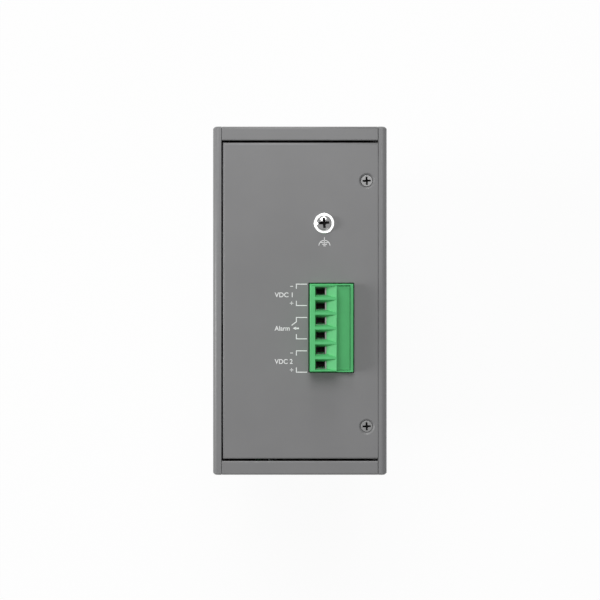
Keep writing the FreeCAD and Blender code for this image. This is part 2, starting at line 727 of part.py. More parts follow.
def lid(right, hooked_right):
    """Folded panel, hooked at the left. Its right side is hooked in the same way, or lies flat."""
    tray = block((LID_LEFT, right), (-LID_END, LID_END), (LID_FLANGE_BASE, TOP))
    tray = rounded(tray, BEND_OUTSIDE,
                   lambda at: abs(at.z - TOP) < 1e-6 and (hooked_right or at.x < right - 1e-3))
    inner_right = right - SHEET if hooked_right else right + 1
    inner_end = LID_END - SHEET
    hollow = block((LID_LEFT + SHEET, inner_right), (-inner_end, inner_end),
                   (LID_FLANGE_BASE - 1, LID_UNDERSIDE))
    hooks = tongues()
    slits = corner_slits()
    if hooked_right:
        hooks += [mirrored(hook, X_AXIS) for hook in hooks]
        slits += [mirrored(slit, X_AXIS) for slit in slits]
    return joined([without(tray, [hollow] + slits)] + hooks)


def top_panel():
    """Top panel, flat at the right, with countersunk holes, the terminal's window and the earth hole."""
    window = block((HEADER_LEFT - HEADER_WINDOW_GAP, HEADER_RIGHT + HEADER_WINDOW_GAP),
                   around(TERMINAL_Y, 2 * (HEADER_HALF + HEADER_WINDOW_GAP)),
                   (LID_UNDERSIDE - 1, TOP + 1))
    earth_hole = cylinder(Vector(EARTH_X, EARTH_Y, TOP + 1), -Z_AXIS, M3_RADIUS + HOLE_CLEARANCE, SHEET + 2)
    screw_holes = [flat_screw_hole(Vector(LID_SCREW_X, y, TOP), SHEET + 1) for y in LID_SCREW_YS]
    return without(lid(PANEL_HALF_WIDTH, False), [window, earth_hole] + screw_holes)


def bottom_panel():
    """Bottom panel, hooked into both side plates."""
    return upside_down(lid(-LID_LEFT, True))


def top_panel_screws():
    """The two countersunk screws at the right of the top panel."""
    return [flat_screw(Vector(LID_SCREW_X, y, TOP - LID_SCREW_SINK)) for y in LID_SCREW_YS]


# ---------------------------------------------------------------- earth screw
def earth_screw():
    """Pan-head screw that clamps the washer to the top panel."""
    seat = Vector(EARTH_X, EARTH_Y, TOP + WASHER_THICKNESS)
    return pan_screw(seat, -Z_AXIS, EARTH_SCREW_LENGTH)


def earth_washer():
    """Flat washer under the earth screw's head."""
    section = [
        (M3_RADIUS + HOLE_CLEARANCE, 0),
        (WASHER_RADIUS, 0),
        (WASHER_RADIUS, WASHER_THICKNESS),
        (M3_RADIUS + HOLE_CLEARANCE, WASHER_THICKNESS),
    ]
    return turned(section, Vector(EARTH_X, EARTH_Y, TOP), Z_AXIS)


def earth_nut():
    """Hexagon nut against the top panel's underside."""
    corners = [(EARTH_X + x, EARTH_Y + y) for x, y in hexagon(NUT_ACROSS_FLATS)]
    body = prism(corners, "xy", (LID_UNDERSIDE - NUT_HEIGHT, LID_UNDERSIDE))
    bore = cylinder(Vector(EARTH_X, EARTH_Y, TOP), -Z_AXIS, M3_RADIUS + THREAD_GAP,
                    SHEET + NUT_HEIGHT + 1)
    return without(body, [bore])


# ---------------------------------------------------------------- plug-in power terminal
def terminal_header():
    """Open-topped header on the power board, with a stepped foot against the board's face."""
    section = [
        (HEADER_LEFT, HEADER_TOP),
        (HEADER_RIGHT, HEADER_TOP, HEADER_EDGE_ROUNDING),
        (HEADER_RIGHT, HEADER_BASE),
        (POWER_FACE, HEADER_BASE),
        (POWER_FACE, BOARD_TOP),
        (HEADER_LEFT, BOARD_TOP),
    ]
    y_range = around(TERMINAL_Y, 2 * HEADER_HALF)
    body = prism(section, "xz", y_range)
    cavity = block((HEADER_LEFT + HEADER_BACK_WALL, HEADER_RIGHT - HEADER_FRONT_WALL),
                   around(TERMINAL_Y, 2 * (HEADER_HALF - HEADER_END_WALL)),
                   (HEADER_BASE + HEADER_FLOOR, HEADER_TOP + 1))
    half_pin = PIN_SIZE / 2
    pin_ways = [block((PIN_X - half_pin, PIN_X + half_pin), around(y, PIN_SIZE),
                      (HEADER_BASE - 1, HEADER_BASE + HEADER_FLOOR + 1)) for y in POLE_YS]
    return without(body, [cavity] + pin_ways)


def header_pins():
    """Square pins: up from the header's floor, and bent back through the power board."""
    half_pin = PIN_SIZE / 2
    tail_z = HEADER_BASE - PIN_FLOOR_DROP
    path = [
        (PIN_X + half_pin, HEADER_BASE + HEADER_FLOOR + PIN_RISE),
        (PIN_X + half_pin, tail_z - half_pin),
        (POWER_BACK - PIN_TAIL, tail_z - half_pin),
    ]
    shape = folded(path, PIN_SIZE)
    return [prism(shape, "xz", around(y, PIN_SIZE)) for y in POLE_YS]


def terminal_plug():
    """Six-pole plug: a body inside the header, a step, and a raised ridge with the wire funnels."""
    section = [
        (PLUG_LEFT, PLUG_BASE),
        (PLUG_LEFT, HEADER_TOP + MATE_GAP),
        (RIDGE_LEFT, HEADER_TOP + MATE_GAP),
        (RIDGE_LEFT, PLUG_TOP, RIDGE_EDGE_ROUNDING),
        (RIDGE_RIGHT, PLUG_TOP, RIDGE_EDGE_ROUNDING / 2),
        (RIDGE_RIGHT, PLUG_STEP),
        (PLUG_RIGHT, PLUG_STEP),
        (PLUG_RIGHT, PLUG_BASE),
    ]
    body = prism(section, "xz", around(TERMINAL_Y, 2 * PLUG_HALF))
    return without(body, [cavity for y in POLE_YS for cavity in pole_cavities(y)])


def pole_cavities(y):
    """What one pole takes out of the plug: funnel, wire hole, clamp chamber, screw hole, contact slot."""
    wire_x = (WIRE_HOLE_LEFT, WIRE_HOLE_RIGHT)
    wire_y = around(y, WIRE_HOLE_Y)
    mouth_x = (RIDGE_LEFT + FUNNEL_WALL, RIDGE_RIGHT - FUNNEL_RIM)
    mouth_half = (POLE_PITCH - FUNNEL_RIB) / 2
    mouth_end = PLUG_HALF - FUNNEL_RIM
    mouth_y = (max(y - mouth_half, TERMINAL_Y - mouth_end), min(y + mouth_half, TERMINAL_Y + mouth_end))
    chamber_y = around(y, CAGE_Y + 2 * CAGE_PLAY)
    contact_y = around(y, CONTACT_WIDTH + 2 * CAGE_PLAY)
    return [
        hopper((wire_x, wire_y, FUNNEL_FLOOR), (mouth_x, mouth_y, PLUG_TOP)),
        block(wire_x, wire_y, (CAGE_BASE, FUNNEL_FLOOR)),
        block((CAGE_LEFT - CAGE_PLAY, COLLAR_END + CAGE_PLAY), chamber_y,
              (CAGE_BASE - 2 * CAGE_PLAY - CONTACT_SHEET, CAGE_TOP + CAGE_PLAY)),
        cylinder(Vector(COLLAR_END, y, CLAMP_AXIS), X_AXIS, CLAMP_HOLE_RADIUS, RIDGE_RIGHT - COLLAR_END + 1),
        block((PIN_X - PIN_SIZE, contact_face() + CAGE_PLAY), contact_y, (PLUG_BASE - 1, CAGE_BASE)),
    ]


def contact_face():
    """Outer face of the contact's upright strip, on the far side of the header pin."""
    return PIN_X + PIN_SIZE / 2 + CONTACT_PIN_GAP + CONTACT_SHEET


def terminal_clamps():
    """Clamp sleeves: a square tube round the wire, with a bevelled block for the clamp screw."""
    clamps = []
    section = [
        (CAGE_LEFT, CAGE_BASE),
        (COLLAR_END, CAGE_BASE),
        (COLLAR_END, CAGE_TOP - CAGE_COLLAR),
        (CAGE_RIGHT, CAGE_TOP),
        (CAGE_LEFT, CAGE_TOP),
    ]
    for y in POLE_YS:
        sleeve = prism(section, "xz", around(y, CAGE_Y))
        window = block((CAGE_LEFT + CAGE_WALL, CAGE_RIGHT - CAGE_NUT_WALL),
                       around(y, CAGE_Y - 2 * CAGE_WALL), (CAGE_BASE - 1, CAGE_TOP + 1))
        clamps.append(without(sleeve, [window]))
    return clamps


def terminal_screws():
    """Clamp screws, sunk in the plug's side and seated on the clamps."""
    length = RIDGE_RIGHT - CLAMP_SCREW_RECESS - COLLAR_END
    return [cylinder(Vector(COLLAR_END, y, CLAMP_AXIS), X_AXIS, CLAMP_SCREW_RADIUS, length) for y in POLE_YS]


def plug_contacts():
    """Contact strips: up beside the header pin, over it, and up into the clamp's window."""
    spring_x = contact_face() - CONTACT_SHEET
    bridge = CAGE_BASE - CAGE_PLAY - CONTACT_SHEET
    window_x = CAGE_LEFT + CAGE_WALL + CAGE_PLAY
    path = [
        (spring_x, PLUG_BASE + CONTACT_SHEET),
        (spring_x, bridge),
        (window_x, bridge),
        (window_x, CAGE_TOP - CONTACT_SHEET),
    ]
    return [prism(folded(path, CONTACT_SHEET), "xz", around(y, CONTACT_WIDTH)) for y in POLE_YS]


# ---------------------------------------------------------------- boards and what holds them
def main_board():
    """Main board, on its standoffs and with its lower edge over the left plate's rib."""
    return block((MAIN_BACK, MAIN_FACE), (MAIN_BOARD_FRONT, BOARD_REAR), (MAIN_BOARD_BASE, BOARD_TOP))


def power_board():
    """Power board, pierced for the terminal's pins."""
    plate = block((POWER_BACK, POWER_FACE), (POWER_BOARD_FRONT, BOARD_REAR), (POWER_BOARD_BASE, BOARD_TOP))
    tail_z = HEADER_BASE - PIN_FLOOR_DROP
    hole = PIN_SIZE + 2 * PIN_HOLE_GAP
    holes = [block((POWER_BACK - 1, POWER_FACE + 1), around(y, hole), around(tail_z, hole)) for y in POLE_YS]
    return without(plate, holes)


def hexagonal_posts(start, end):
    """Hexagonal posts between two planes, at the power board's four corners."""
    posts = []
    for y, z in SPACER_POINTS:
        corners = [(y + u, z + v) for u, v in hexagon(SPACER_ACROSS_FLATS)]
        posts.append(prism(corners, "yz", (start, end)))
    return posts


def board_standoffs():
    """Standoffs pressed to the left plate, under the main board."""
    return hexagonal_posts(LEFT_INNER, MAIN_BACK)


def board_spacers():
    """Spacers between the two boards, in line with the standoffs."""
    return hexagonal_posts(MAIN_FACE, POWER_BACK)


# ---------------------------------------------------------------- RJ45 jack
def port_columns():
    """Each column's centre, and the side that its latch notch faces."""
    return [(MAIN_FACE + PORT_LOWER_OFFSET, -1), (MAIN_FACE + PORT_UPPER_OFFSET, 1)]


def port_outline(x, z, side):
    """Mouth of one port: a rectangle with a two-step latch notch on the side it faces."""
    wall = x + side * PORT_HEIGHT / 2
    tab = wall + side * PORT_TAB_HEIGHT
    notch = tab + side * PORT_NOTCH_HEIGHT
    half_lines = [
        (x - side * PORT_HEIGHT / 2, PORT_WIDTH / 2),
        (wall, PORT_WIDTH / 2),
        (wall, PORT_TAB_WIDTH / 2),
        (tab, PORT_TAB_WIDTH / 2),
        (tab, PORT_NOTCH_WIDTH / 2),
        (notch, PORT_NOTCH_WIDTH / 2),
    ]
    upper = [(u, z + v) for u, v in half_lines]
    lower = [(u, z - v) for u, v in half_lines]
    return upper + lower[::-1]


def port_cavities(depth):
    """All eight ports, cut to the given depth behind the connector's face."""
    return [prism(port_outline(x, z, side), "xz", (CONNECTOR_FACE - 1, CONNECTOR_FACE + depth))
            for x, side in port_columns() for z in PORT_ZS]


def rj45_shield():
    """Tinned shell of the stacked jack, open towards the board."""
    outside = block((MAIN_FACE, MAIN_FACE + JACK_HEIGHT), (CONNECTOR_FACE, JACK_BACK), (JACK_BASE, JACK_TOP))
    inside = block((MAIN_FACE - 1, MAIN_FACE + JACK_HEIGHT - JACK_SHEET),
                   (CONNECTOR_FACE + JACK_SHEET, JACK_BACK - JACK_SHEET),
                   (JACK_BASE + JACK_SHEET, JACK_TOP - JACK_SHEET))
    return without(outside, [inside] + port_cavities(JACK_SHEET + 1))


def rj45_housing():
    """Moulded block inside the shield, with eight port cavities."""
    body = block((MAIN_FACE, MAIN_FACE + JACK_HEIGHT - JACK_SHEET),
                 (CONNECTOR_FACE + JACK_SHEET, JACK_BACK - JACK_SHEET),
                 (JACK_BASE + JACK_SHEET, JACK_TOP - JACK_SHEET))
    return without(body, port_cavities(PORT_DEPTH))


def rj45_contacts():
    """Eight sprung wires in each port, sloping in from the wall opposite the latch notch."""
    contacts = []
    start = CONNECTOR_FACE + PORT_CONTACT_START
    for x, side in port_columns():
        wall = x - side * PORT_HEIGHT / 2
        tip = wall + side * PORT_CONTACT_RISE
        strip = [
            (wall, start),
            (wall, start + 2 * PORT_CONTACT_THICKNESS),
            (tip, start + PORT_CONTACT_RUN),
            (tip, start + PORT_CONTACT_RUN - 2 * PORT_CONTACT_THICKNESS),
        ]
        for z in PORT_ZS:
            for wire in range(PORT_CONTACTS):
                wire_z = z + (wire - (PORT_CONTACTS - 1) / 2) * PORT_CONTACT_PITCH
                contacts.append(prism(strip, "xy", around(wire_z, PORT_CONTACT_WIDTH)))
    return contacts


# ---------------------------------------------------------------- SFP cage
def slot_centres():
    """Heights of the two slots' middles above the main board, along X."""
    return [MAIN_FACE + SLOT_LOWER_OFFSET, MAIN_FACE + SLOT_UPPER_OFFSET]


def sfp_cage():
    """Folded cage with two module slots, a floor over the board and an open connector bay."""
    body = block((MAIN_FACE, MAIN_FACE + SFP_HEIGHT), (CONNECTOR_FACE, SFP_BACK),
                 around(SFP_CENTRE, 2 * SFP_HALF))
    slots = [block(around(x, SLOT_HEIGHT), (CONNECTOR_FACE - 1, SFP_BACK - SFP_REAR_WALL),
                   around(SFP_CENTRE, SLOT_WIDTH)) for x in slot_centres()]
    lower, upper = slot_centres()
    between = (lower + SLOT_HEIGHT / 2 + CAGE_SHEET, upper - SLOT_HEIGHT / 2 - CAGE_SHEET)
    hollow = block(between, (CONNECTOR_FACE + CAGE_SHEET, SFP_BACK + 1), around(SFP_CENTRE, SLOT_WIDTH))
    return without(body, slots + [hollow])


def sfp_connectors():
    """Edge connectors at the back of both slots."""
    connectors = []
    back = SFP_BACK - SFP_REAR_WALL
    for x in slot_centres():
        seat = x - SLOT_HEIGHT / 2
        body = block((seat, seat + SFP_CONNECTOR_HEIGHT), (back - SFP_CONNECTOR_LENGTH, back),
                     around(SFP_CENTRE, SFP_CONNECTOR_WIDTH))
        card = block(around(seat + SFP_CONNECTOR_HEIGHT / 2, SFP_CARD_SLOT_HEIGHT),
                     (back - SFP_CONNECTOR_LENGTH - 1, back - SFP_CONNECTOR_LENGTH + SFP_CARD_SLOT_DEPTH),
                     around(SFP_CENTRE, SFP_CARD_SLOT_WIDTH))
        connectors.append(without(body, [card]))
    return connectors


# ---------------------------------------------------------------- status lights
def status_light_pipes():
    """One clear moulding: a bar on the board with a flat rod to each window in the front panel."""
    bar_half = (STATUS_LIGHTS - 1) * STATUS_PITCH / 2 + LIGHT_PIPE_END_MARGIN
    bar = block((MAIN_FACE, STATUS_X + LIGHT_PIPE_WIDTH / 2),
                (LIGHT_PIPE_BACK - LIGHT_PIPE_BAR, LIGHT_PIPE_BACK),
                (STATUS_CENTRE - bar_half, STATUS_CENTRE + bar_half))
    rods = [block(around(STATUS_X, LIGHT_PIPE_WIDTH), (FRONT - LIGHT_PIPE_PROUD, LIGHT_PIPE_BACK),
                  around(z, LIGHT_PIPE_HEIGHT)) for z in STATUS_ZS]
    return joined([bar] + rods)


def status_leds():
    """Side-looking lights on the board, one behind each rod."""
    start = LIGHT_PIPE_BACK + STATUS_LED_GAP
    return [block((MAIN_FACE, STATUS_X + STATUS_LED_SIZE / 2), (start, start + STATUS_LED_SIZE),
                  around(z, STATUS_LED_SIZE)) for z in STATUS_ZS]


# ---------------------------------------------------------------- parts on the main board
SWITCH_CHIP_Z = 32.0
SWITCH_CHIP_SIZE = 20.0
SWITCH_CHIP_HEIGHT = 1.6
HEAT_SINK_SIZE = 32.0
HEAT_SINK_BASE = 2.0
HEAT_SINK_HEIGHT = 12.0
HEAT_SINK_FINS = 8
HEAT_SINK_FIN = 1.2
PORT_CHIP_SIZE = 10.0
PORT_CHIP_HEIGHT = 1.0
PORT_CHIP_SETBACK = 13.9
PORT_CHIP_ZS = [72.0, 92.0]
MEMORY_SIZE = (8.0, 12.0)
MEMORY_HEIGHT = 1.1
MEMORY_SETBACK = 4.3
MEMORY_ZS = [15.0, 49.0]
CRYSTAL_SIZE = (3.2, 5.0)
CRYSTAL_HEIGHT = 1.0
CRYSTAL_SETBACK = 4.3
CRYSTAL_Z = 32.0
INDUCTOR_SIZE = 7.0
INDUCTOR_HEIGHT = 4.0
INDUCTOR_REAR_INSET = 14.0
INDUCTOR_ZS = [18.0, 30.0, 42.0]
PACKAGE_BEVEL = 0.4

PORT_CHIP_Y = JACK_BACK + PORT_CHIP_SETBACK
MEMORY_Y = SFP_BACK + MEMORY_SETBACK
CRYSTAL_Y = SFP_BACK + CRYSTAL_SETBACK
INDUCTOR_Y = BOARD_REAR - INDUCTOR_REAR_INSET
SWITCH_CHIP_Y = (SFP_BACK + INDUCTOR_Y - INDUCTOR_SIZE / 2) / 2


def chip(y, z, width, depth, height):
    """Flat package on the main board's face."""
    body = block((MAIN_FACE, MAIN_FACE + height), around(y, width), around(z, depth))
    return bevelled(body, min(PACKAGE_BEVEL, height / 3), lambda at: abs(at.x - MAIN_FACE - height) < 1e-6)


def switch_chip():
    return chip(SWITCH_CHIP_Y, SWITCH_CHIP_Z, SWITCH_CHIP_SIZE, SWITCH_CHIP_SIZE, SWITCH_CHIP_HEIGHT)


def heat_sink():
    """Finned extrusion on the switch chip, with its fins upright."""
    seat = MAIN_FACE + SWITCH_CHIP_HEIGHT
    root = seat + HEAT_SINK_BASE
    top = seat + HEAT_SINK_HEIGHT
    step = (HEAT_SINK_SIZE - HEAT_SINK_FIN) / (HEAT_SINK_FINS - 1)
    low = SWITCH_CHIP_Y - HEAT_SINK_SIZE / 2
    corners = [(seat, low)]
    for fin in range(HEAT_SINK_FINS):
        start = low + fin * step
        end = start + HEAT_SINK_FIN
        if fin > 0:
            corners.append((root, start))
        corners.append((top, start))
        corners.append((top, end))
        if fin < HEAT_SINK_FINS - 1:
            corners.append((root, end))
    corners.append((seat, low + HEAT_SINK_SIZE))
    return prism(corners, "xy", around(SWITCH_CHIP_Z, HEAT_SINK_SIZE))


def port_chips():
    return [chip(PORT_CHIP_Y, z, PORT_CHIP_SIZE, PORT_CHIP_SIZE, PORT_CHIP_HEIGHT) for z in PORT_CHIP_ZS]


def memory_chips():
    return [chip(MEMORY_Y, z, *MEMORY_SIZE, MEMORY_HEIGHT) for z in MEMORY_ZS]


def clock_crystal():
    return chip(CRYSTAL_Y, CRYSTAL_Z, *CRYSTAL_SIZE, CRYSTAL_HEIGHT)


def power_inductors():
    return [chip(INDUCTOR_Y, z, INDUCTOR_SIZE, INDUCTOR_SIZE, INDUCTOR_HEIGHT) for z in INDUCTOR_ZS]


# ---------------------------------------------------------------- parts on the power board
TRANSFORMER_REAR_INSET = 26.0
TRANSFORMER_TOP_INSET = 53.0
TRANSFORMER_CORE = (20.0, 24.0, 13.0)
TRANSFORMER_COIL_RADIUS = 7.5
TRANSFORMER_COIL_LENGTH = 17.0
TRANSFORMER_CORE_WALL = 2.5
CAPACITOR_RADIUS = 5.0
CAPACITOR_HEIGHT = 16.0
CAPACITOR_BASE_INSET = 13.0
CAPACITOR_FRONT_INSETS = [22.0, 36.0]
FUSE_SIZE = (8.4, 4.3, 7.5)
FUSE_DROP = 12.0
FUSE_FRONT_INSETS = [16.0, 28.0]
RELAY_SIZE = (15.0, 7.5, 10.0)
RELAY_FRONT_INSET = 46.0
RELAY_DROP = 14.0
CHOKE_SIZE = (14.0, 14.0)
CHOKE_HEIGHT = 12.0
CHOKE_WINDOW = (7.0, 5.0)
CHOKE_FLOOR = 1.0
CHOKE_FRONT_INSET = 18.0
CHOKE_DROP = 36.0
STACK_FRONT_INSET = 24.0
STACK_TOP_INSET = 61.0
STACK_WIDTH = 5.0
STACK_LENGTH = 26.0
STACK_SOCKET_HEIGHT = 8.5
STACK_HEADER_HEIGHT = 2.5
STACK_PINS = 8
STACK_END_MARGIN = 1.5
STACK_PIN_GAP = 0.1
STACK_PIN_SIZE = 0.64
STACK_PIN_DEPTH = 6.0

TRANSFORMER_Y = BOARD_REAR - TRANSFORMER_REAR_INSET
TRANSFORMER_Z = BOARD_TOP - TRANSFORMER_TOP_INSET
CAPACITOR_YS = [POWER_BOARD_FRONT + inset for inset in CAPACITOR_FRONT_INSETS]
CAPACITOR_Z = POWER_BOARD_BASE + CAPACITOR_BASE_INSET
FUSE_YS = [POWER_BOARD_FRONT + inset for inset in FUSE_FRONT_INSETS]
FUSE_Z = HEADER_BASE - FUSE_DROP
RELAY_Y = POWER_BOARD_FRONT + RELAY_FRONT_INSET
RELAY_Z = HEADER_BASE - RELAY_DROP
CHOKE_Y = POWER_BOARD_FRONT + CHOKE_FRONT_INSET
CHOKE_Z = HEADER_BASE - CHOKE_DROP
STACK_Y = POWER_BOARD_FRONT + STACK_FRONT_INSET
STACK_Z = BOARD_TOP - STACK_TOP_INSET


def on_power_board(y, z, size_y, size_z, height):
    """Plain package on the power board's face, with its outer edges bevelled."""
    body = block((POWER_FACE, POWER_FACE + height), around(y, size_y), around(z, size_z))
    return bevelled(body, PACKAGE_BEVEL, lambda at: abs(at.x - POWER_FACE - height) < 1e-6)


def power_transformer():
    """Ferrite E-cores around a wound coil."""
    size_y, size_z, height = TRANSFORMER_CORE
    x_range = (POWER_FACE, POWER_FACE + height)
    core = block(x_range, around(TRANSFORMER_Y, size_y), around(TRANSFORMER_Z, size_z))
    window = block((POWER_FACE + TRANSFORMER_CORE_WALL, POWER_FACE + height - TRANSFORMER_CORE_WALL),
                   around(TRANSFORMER_Y, TRANSFORMER_COIL_LENGTH), around(TRANSFORMER_Z, size_z + 2))
    coil_start = Vector(POWER_FACE + height / 2, TRANSFORMER_Y - TRANSFORMER_COIL_LENGTH / 2, TRANSFORMER_Z)
    coil = cylinder(coil_start, Y_AXIS, TRANSFORMER_COIL_RADIUS, TRANSFORMER_COIL_LENGTH)
    return joined([without(core, [window]), coil.common(core)])


def bulk_capacitors():
    """Electrolytic cans that stand off the power board."""
    return [cylinder(Vector(POWER_FACE, y, CAPACITOR_Z), X_AXIS, CAPACITOR_RADIUS, CAPACITOR_HEIGHT)
            for y in CAPACITOR_YS]


def input_fuses():
    """Radial fuses, one in each supply."""
    size_y, size_z, height = FUSE_SIZE
    return [on_power_board(y, FUSE_Z, size_y, size_z, height) for y in FUSE_YS]


def fault_relay():
    """Sealed relay for the alarm contact."""
    size_y, size_z, height = RELAY_SIZE
    return on_power_board(RELAY_Y, RELAY_Z, size_y, size_z, height)


def input_choke():
    """Common-mode choke: a square ferrite frame on a flat base."""
    size_y, size_z = CHOKE_SIZE
    window_y, window_z = CHOKE_WINDOW
    frame = on_power_board(CHOKE_Y, CHOKE_Z, size_y, size_z, CHOKE_HEIGHT)
    slot = block((POWER_FACE + CHOKE_FLOOR, POWER_FACE + CHOKE_HEIGHT + 1),
                 around(CHOKE_Y, window_y), around(CHOKE_Z, window_z))
    return without(frame, [slot])


def stack_pins(size):
    """Pins, or ways for them, between the stacking header and its socket."""
    run = STACK_LENGTH - 2 * STACK_END_MARGIN
    step = run / (STACK_PINS - 1)
    x_range = (MAIN_FACE + STACK_SOCKET_HEIGHT - STACK_PIN_DEPTH, POWER_BACK - STACK_HEADER_HEIGHT)
    return [block(x_range, around(STACK_Y, size), around(STACK_Z - run / 2 + pin * step, size))
            for pin in range(STACK_PINS)]


def board_socket():
    """Socket strip on the main board for the stacking header."""
    body = block((MAIN_FACE, MAIN_FACE + STACK_SOCKET_HEIGHT), around(STACK_Y, STACK_WIDTH),
                 around(STACK_Z, STACK_LENGTH))
    return without(body, stack_pins(STACK_PIN_SIZE + 2 * STACK_PIN_GAP))


def board_header():
    """Stacking header under the power board, its pins in the socket."""
    strip = block((POWER_BACK - STACK_HEADER_HEIGHT, POWER_BACK), around(STACK_Y, STACK_WIDTH),
                  around(STACK_Z, STACK_LENGTH))
    return joined([strip] + stack_pins(STACK_PIN_SIZE))


# ---------------------------------------------------------------- DIN-rail clip
def clip_hooks():
    """Two hooks lanced out of the channel's roof, bent back and down over the rail's upper lip."""
    roof = HOOK_ROOF + CLIP_SHEET
    lip = LIP_FACE + CLIP_SHEET
    path = [
        (CHANNEL_ROOF, HOOK_ROOF - HOOK_ROOT - CLIP_SHEET),
        (CHANNEL_ROOF, roof),
        (lip, roof),
        (lip, HOOK_ROOF - HOOK_LIP),
    ]
    section = folded(path, CLIP_SHEET, CLIP_BEND_INSIDE)
    return [prism(section, "yz", around(side * HOOK_SPREAD, HOOK_WIDTH)) for side in (-1, 1)]


def rail_bracket():
    """Pressed steel bracket: two feet, a raised channel for the latch, two lanced hooks and a tang."""
    shoulder = CHANNEL_WIDTH / 2 + CLIP_SHEET
    root = shoulder + CHANNEL_RAMP
    path = [
        (-CLIP_HALF, FOOT_FACE),
        (-root, FOOT_FACE),
        (-shoulder, RAIL_SEAT),
        (shoulder, RAIL_SEAT),
        (root, FOOT_FACE),
        (CLIP_HALF, FOOT_FACE),
    ]
    hat = prism(folded(path, CLIP_SHEET, CLIP_BEND_INSIDE), "xy", (CLIP_BASE, CLIP_TOP))
    hat = bevelled(hat, CLIP_CORNER, lambda at: abs(abs(at.x) - CLIP_HALF) < 1e-6
                   and min(abs(at.z - CLIP_BASE), abs(at.z - CLIP_TOP)) < 1e-6)
    roof = (CHANNEL_ROOF - 1, RAIL_SEAT + 1)
    cuts = []
    for side in (-1, 1):
        foot = Vector(side * CLIP_SCREW_X, FOOT_FACE + 1, CLIP_SCREW_Z)
        cuts.append(cylinder(foot, -Y_AXIS, M3_RADIUS + HOLE_CLEARANCE, CLIP_SHEET + 2))
        cuts.append(block(around(side * HOOK_SPREAD, HOOK_WIDTH + 2 * HOOK_SLOT_MARGIN), roof,
                          (HOOK_ROOF - HOOK_ROOT, HOOK_ROOF + CLIP_SHEET + HOOK_SLOT_LENGTH)))
    half_slot = NOSE_WIDTH / 2 + NOSE_SLOT_MARGIN
    slot_top = NOSE_SHELF + NOSE_LIP + NOSE_SLOT_MARGIN
    nose_slot = [
        (-half_slot, CLIP_BASE - 1),
        (half_slot, CLIP_BASE - 1),
        (half_slot, slot_top, NOSE_SLOT_RADIUS),
        (-half_slot, slot_top, NOSE_SLOT_RADIUS),
    ]
    cuts.append(prism(nose_slot, "xz", roof))
    tang = block(around(0, TANG_WIDTH), (REAR + TANG_END_GAP, CHANNEL_ROOF), (TANG_BASE, TANG_TOP))
    return joined([without(hat, cuts), tang] + clip_hooks())


def bracket_screws():
    """Pan-head screws that hold the bracket's feet to the rear panel."""
    return [pan_screw(Vector(side * CLIP_SCREW_X, FOOT_FACE, CLIP_SCREW_Z), -Y_AXIS, CLIP_SCREW_LENGTH)
            for side in (-1, 1)]


def latch_nose():
    """Nose that hooks under the rail's lower lip, with a ramp that pushes it down past the rail."""
    root = LATCH_NEAR + LATCH_SINK
    tip = LIP_FACE + NOSE_LIP_THICKNESS
    crown = NOSE_SHELF + NOSE_LIP
    section = [
        (root, NOSE_SHELF),
        (LIP_FACE, NOSE_SHELF),
        (LIP_FACE, crown),
        (tip - NOSE_RAMP, crown),
        (tip, crown - NOSE_RAMP),
        (tip, NOSE_SHELF - NOSE_RAMP, NOSE_RADIUS),
        (LATCH_FAR, NOSE_SHELF - NOSE_ROOT),
        (root, NOSE_SHELF - NOSE_ROOT),
    ]
    return prism(section, "yz", around(0, NOSE_WIDTH))


def latch_tab():
    """Thick pull tab at the foot of the slider."""
    face = LATCH_NEAR + TAB_THICKNESS
    top = LATCH_BASE + TAB_HEIGHT
    section = [
        (LATCH_NEAR, LATCH_BASE),
        (LATCH_NEAR, top + TAB_THICKNESS),
        (LATCH_FAR, top + TAB_THICKNESS - (LATCH_FAR - LATCH_NEAR)),
        (face, top),
        (face, LATCH_BASE, TAB_EDGE_RADIUS),
    ]
    half = CHANNEL_WIDTH / 2 - LATCH_SIDE_PLAY - TAB_INSET
    return prism(section, "yz", (-half, half))


def rail_latch():
    """Moulded slider: hooked nose under the rail, spring window, pull tab with a screwdriver slot."""
    half = CHANNEL_WIDTH / 2 - LATCH_SIDE_PLAY
    slab = prism([(-half, LATCH_BASE, LATCH_FOOT_RADIUS), (half, LATCH_BASE, LATCH_FOOT_RADIUS),
                  (half, LATCH_TOP), (-half, LATCH_TOP)], "xz", (LATCH_NEAR, LATCH_FAR))
    window = block(around(0, WINDOW_WIDTH), (LATCH_NEAR - 1, LATCH_FAR + 1), (WINDOW_BASE, WINDOW_TOP))
    slot_base = LATCH_BASE + TAB_SLOT_INSET
    driver_slot = block(around(0, TAB_SLOT_WIDTH), (LATCH_NEAR - 1, LATCH_NEAR + TAB_THICKNESS + 1),
                        (slot_base, slot_base + TAB_SLOT_HEIGHT))
    return without(joined([slab, latch_tab(), latch_nose()]), [window, driver_slot])


def latch_spring():
    """Folded strip spring between the bracket's tang and the top of the latch's window."""
    base = TANG_TOP + SPRING_END_GAP
    top = WINDOW_TOP - SPRING_END_GAP
    step = (top - base - SPRING_STRIP) / (SPRING_LEVELS - 1)
    path = []
    for level in range(SPRING_LEVELS):
        side = 1 if level % 2 == 0 else -1
        z = base + SPRING_STRIP + level * step
        path.append((-side * SPRING_WIDTH / 2, z))
        path.append((side * SPRING_WIDTH / 2, z))
    section = folded(path, SPRING_STRIP, step / 2 - SPRING_STRIP)
    return prism(section, "xz", around(REAR + CHANNEL_DEPTH / 2, SPRING_DEPTH))


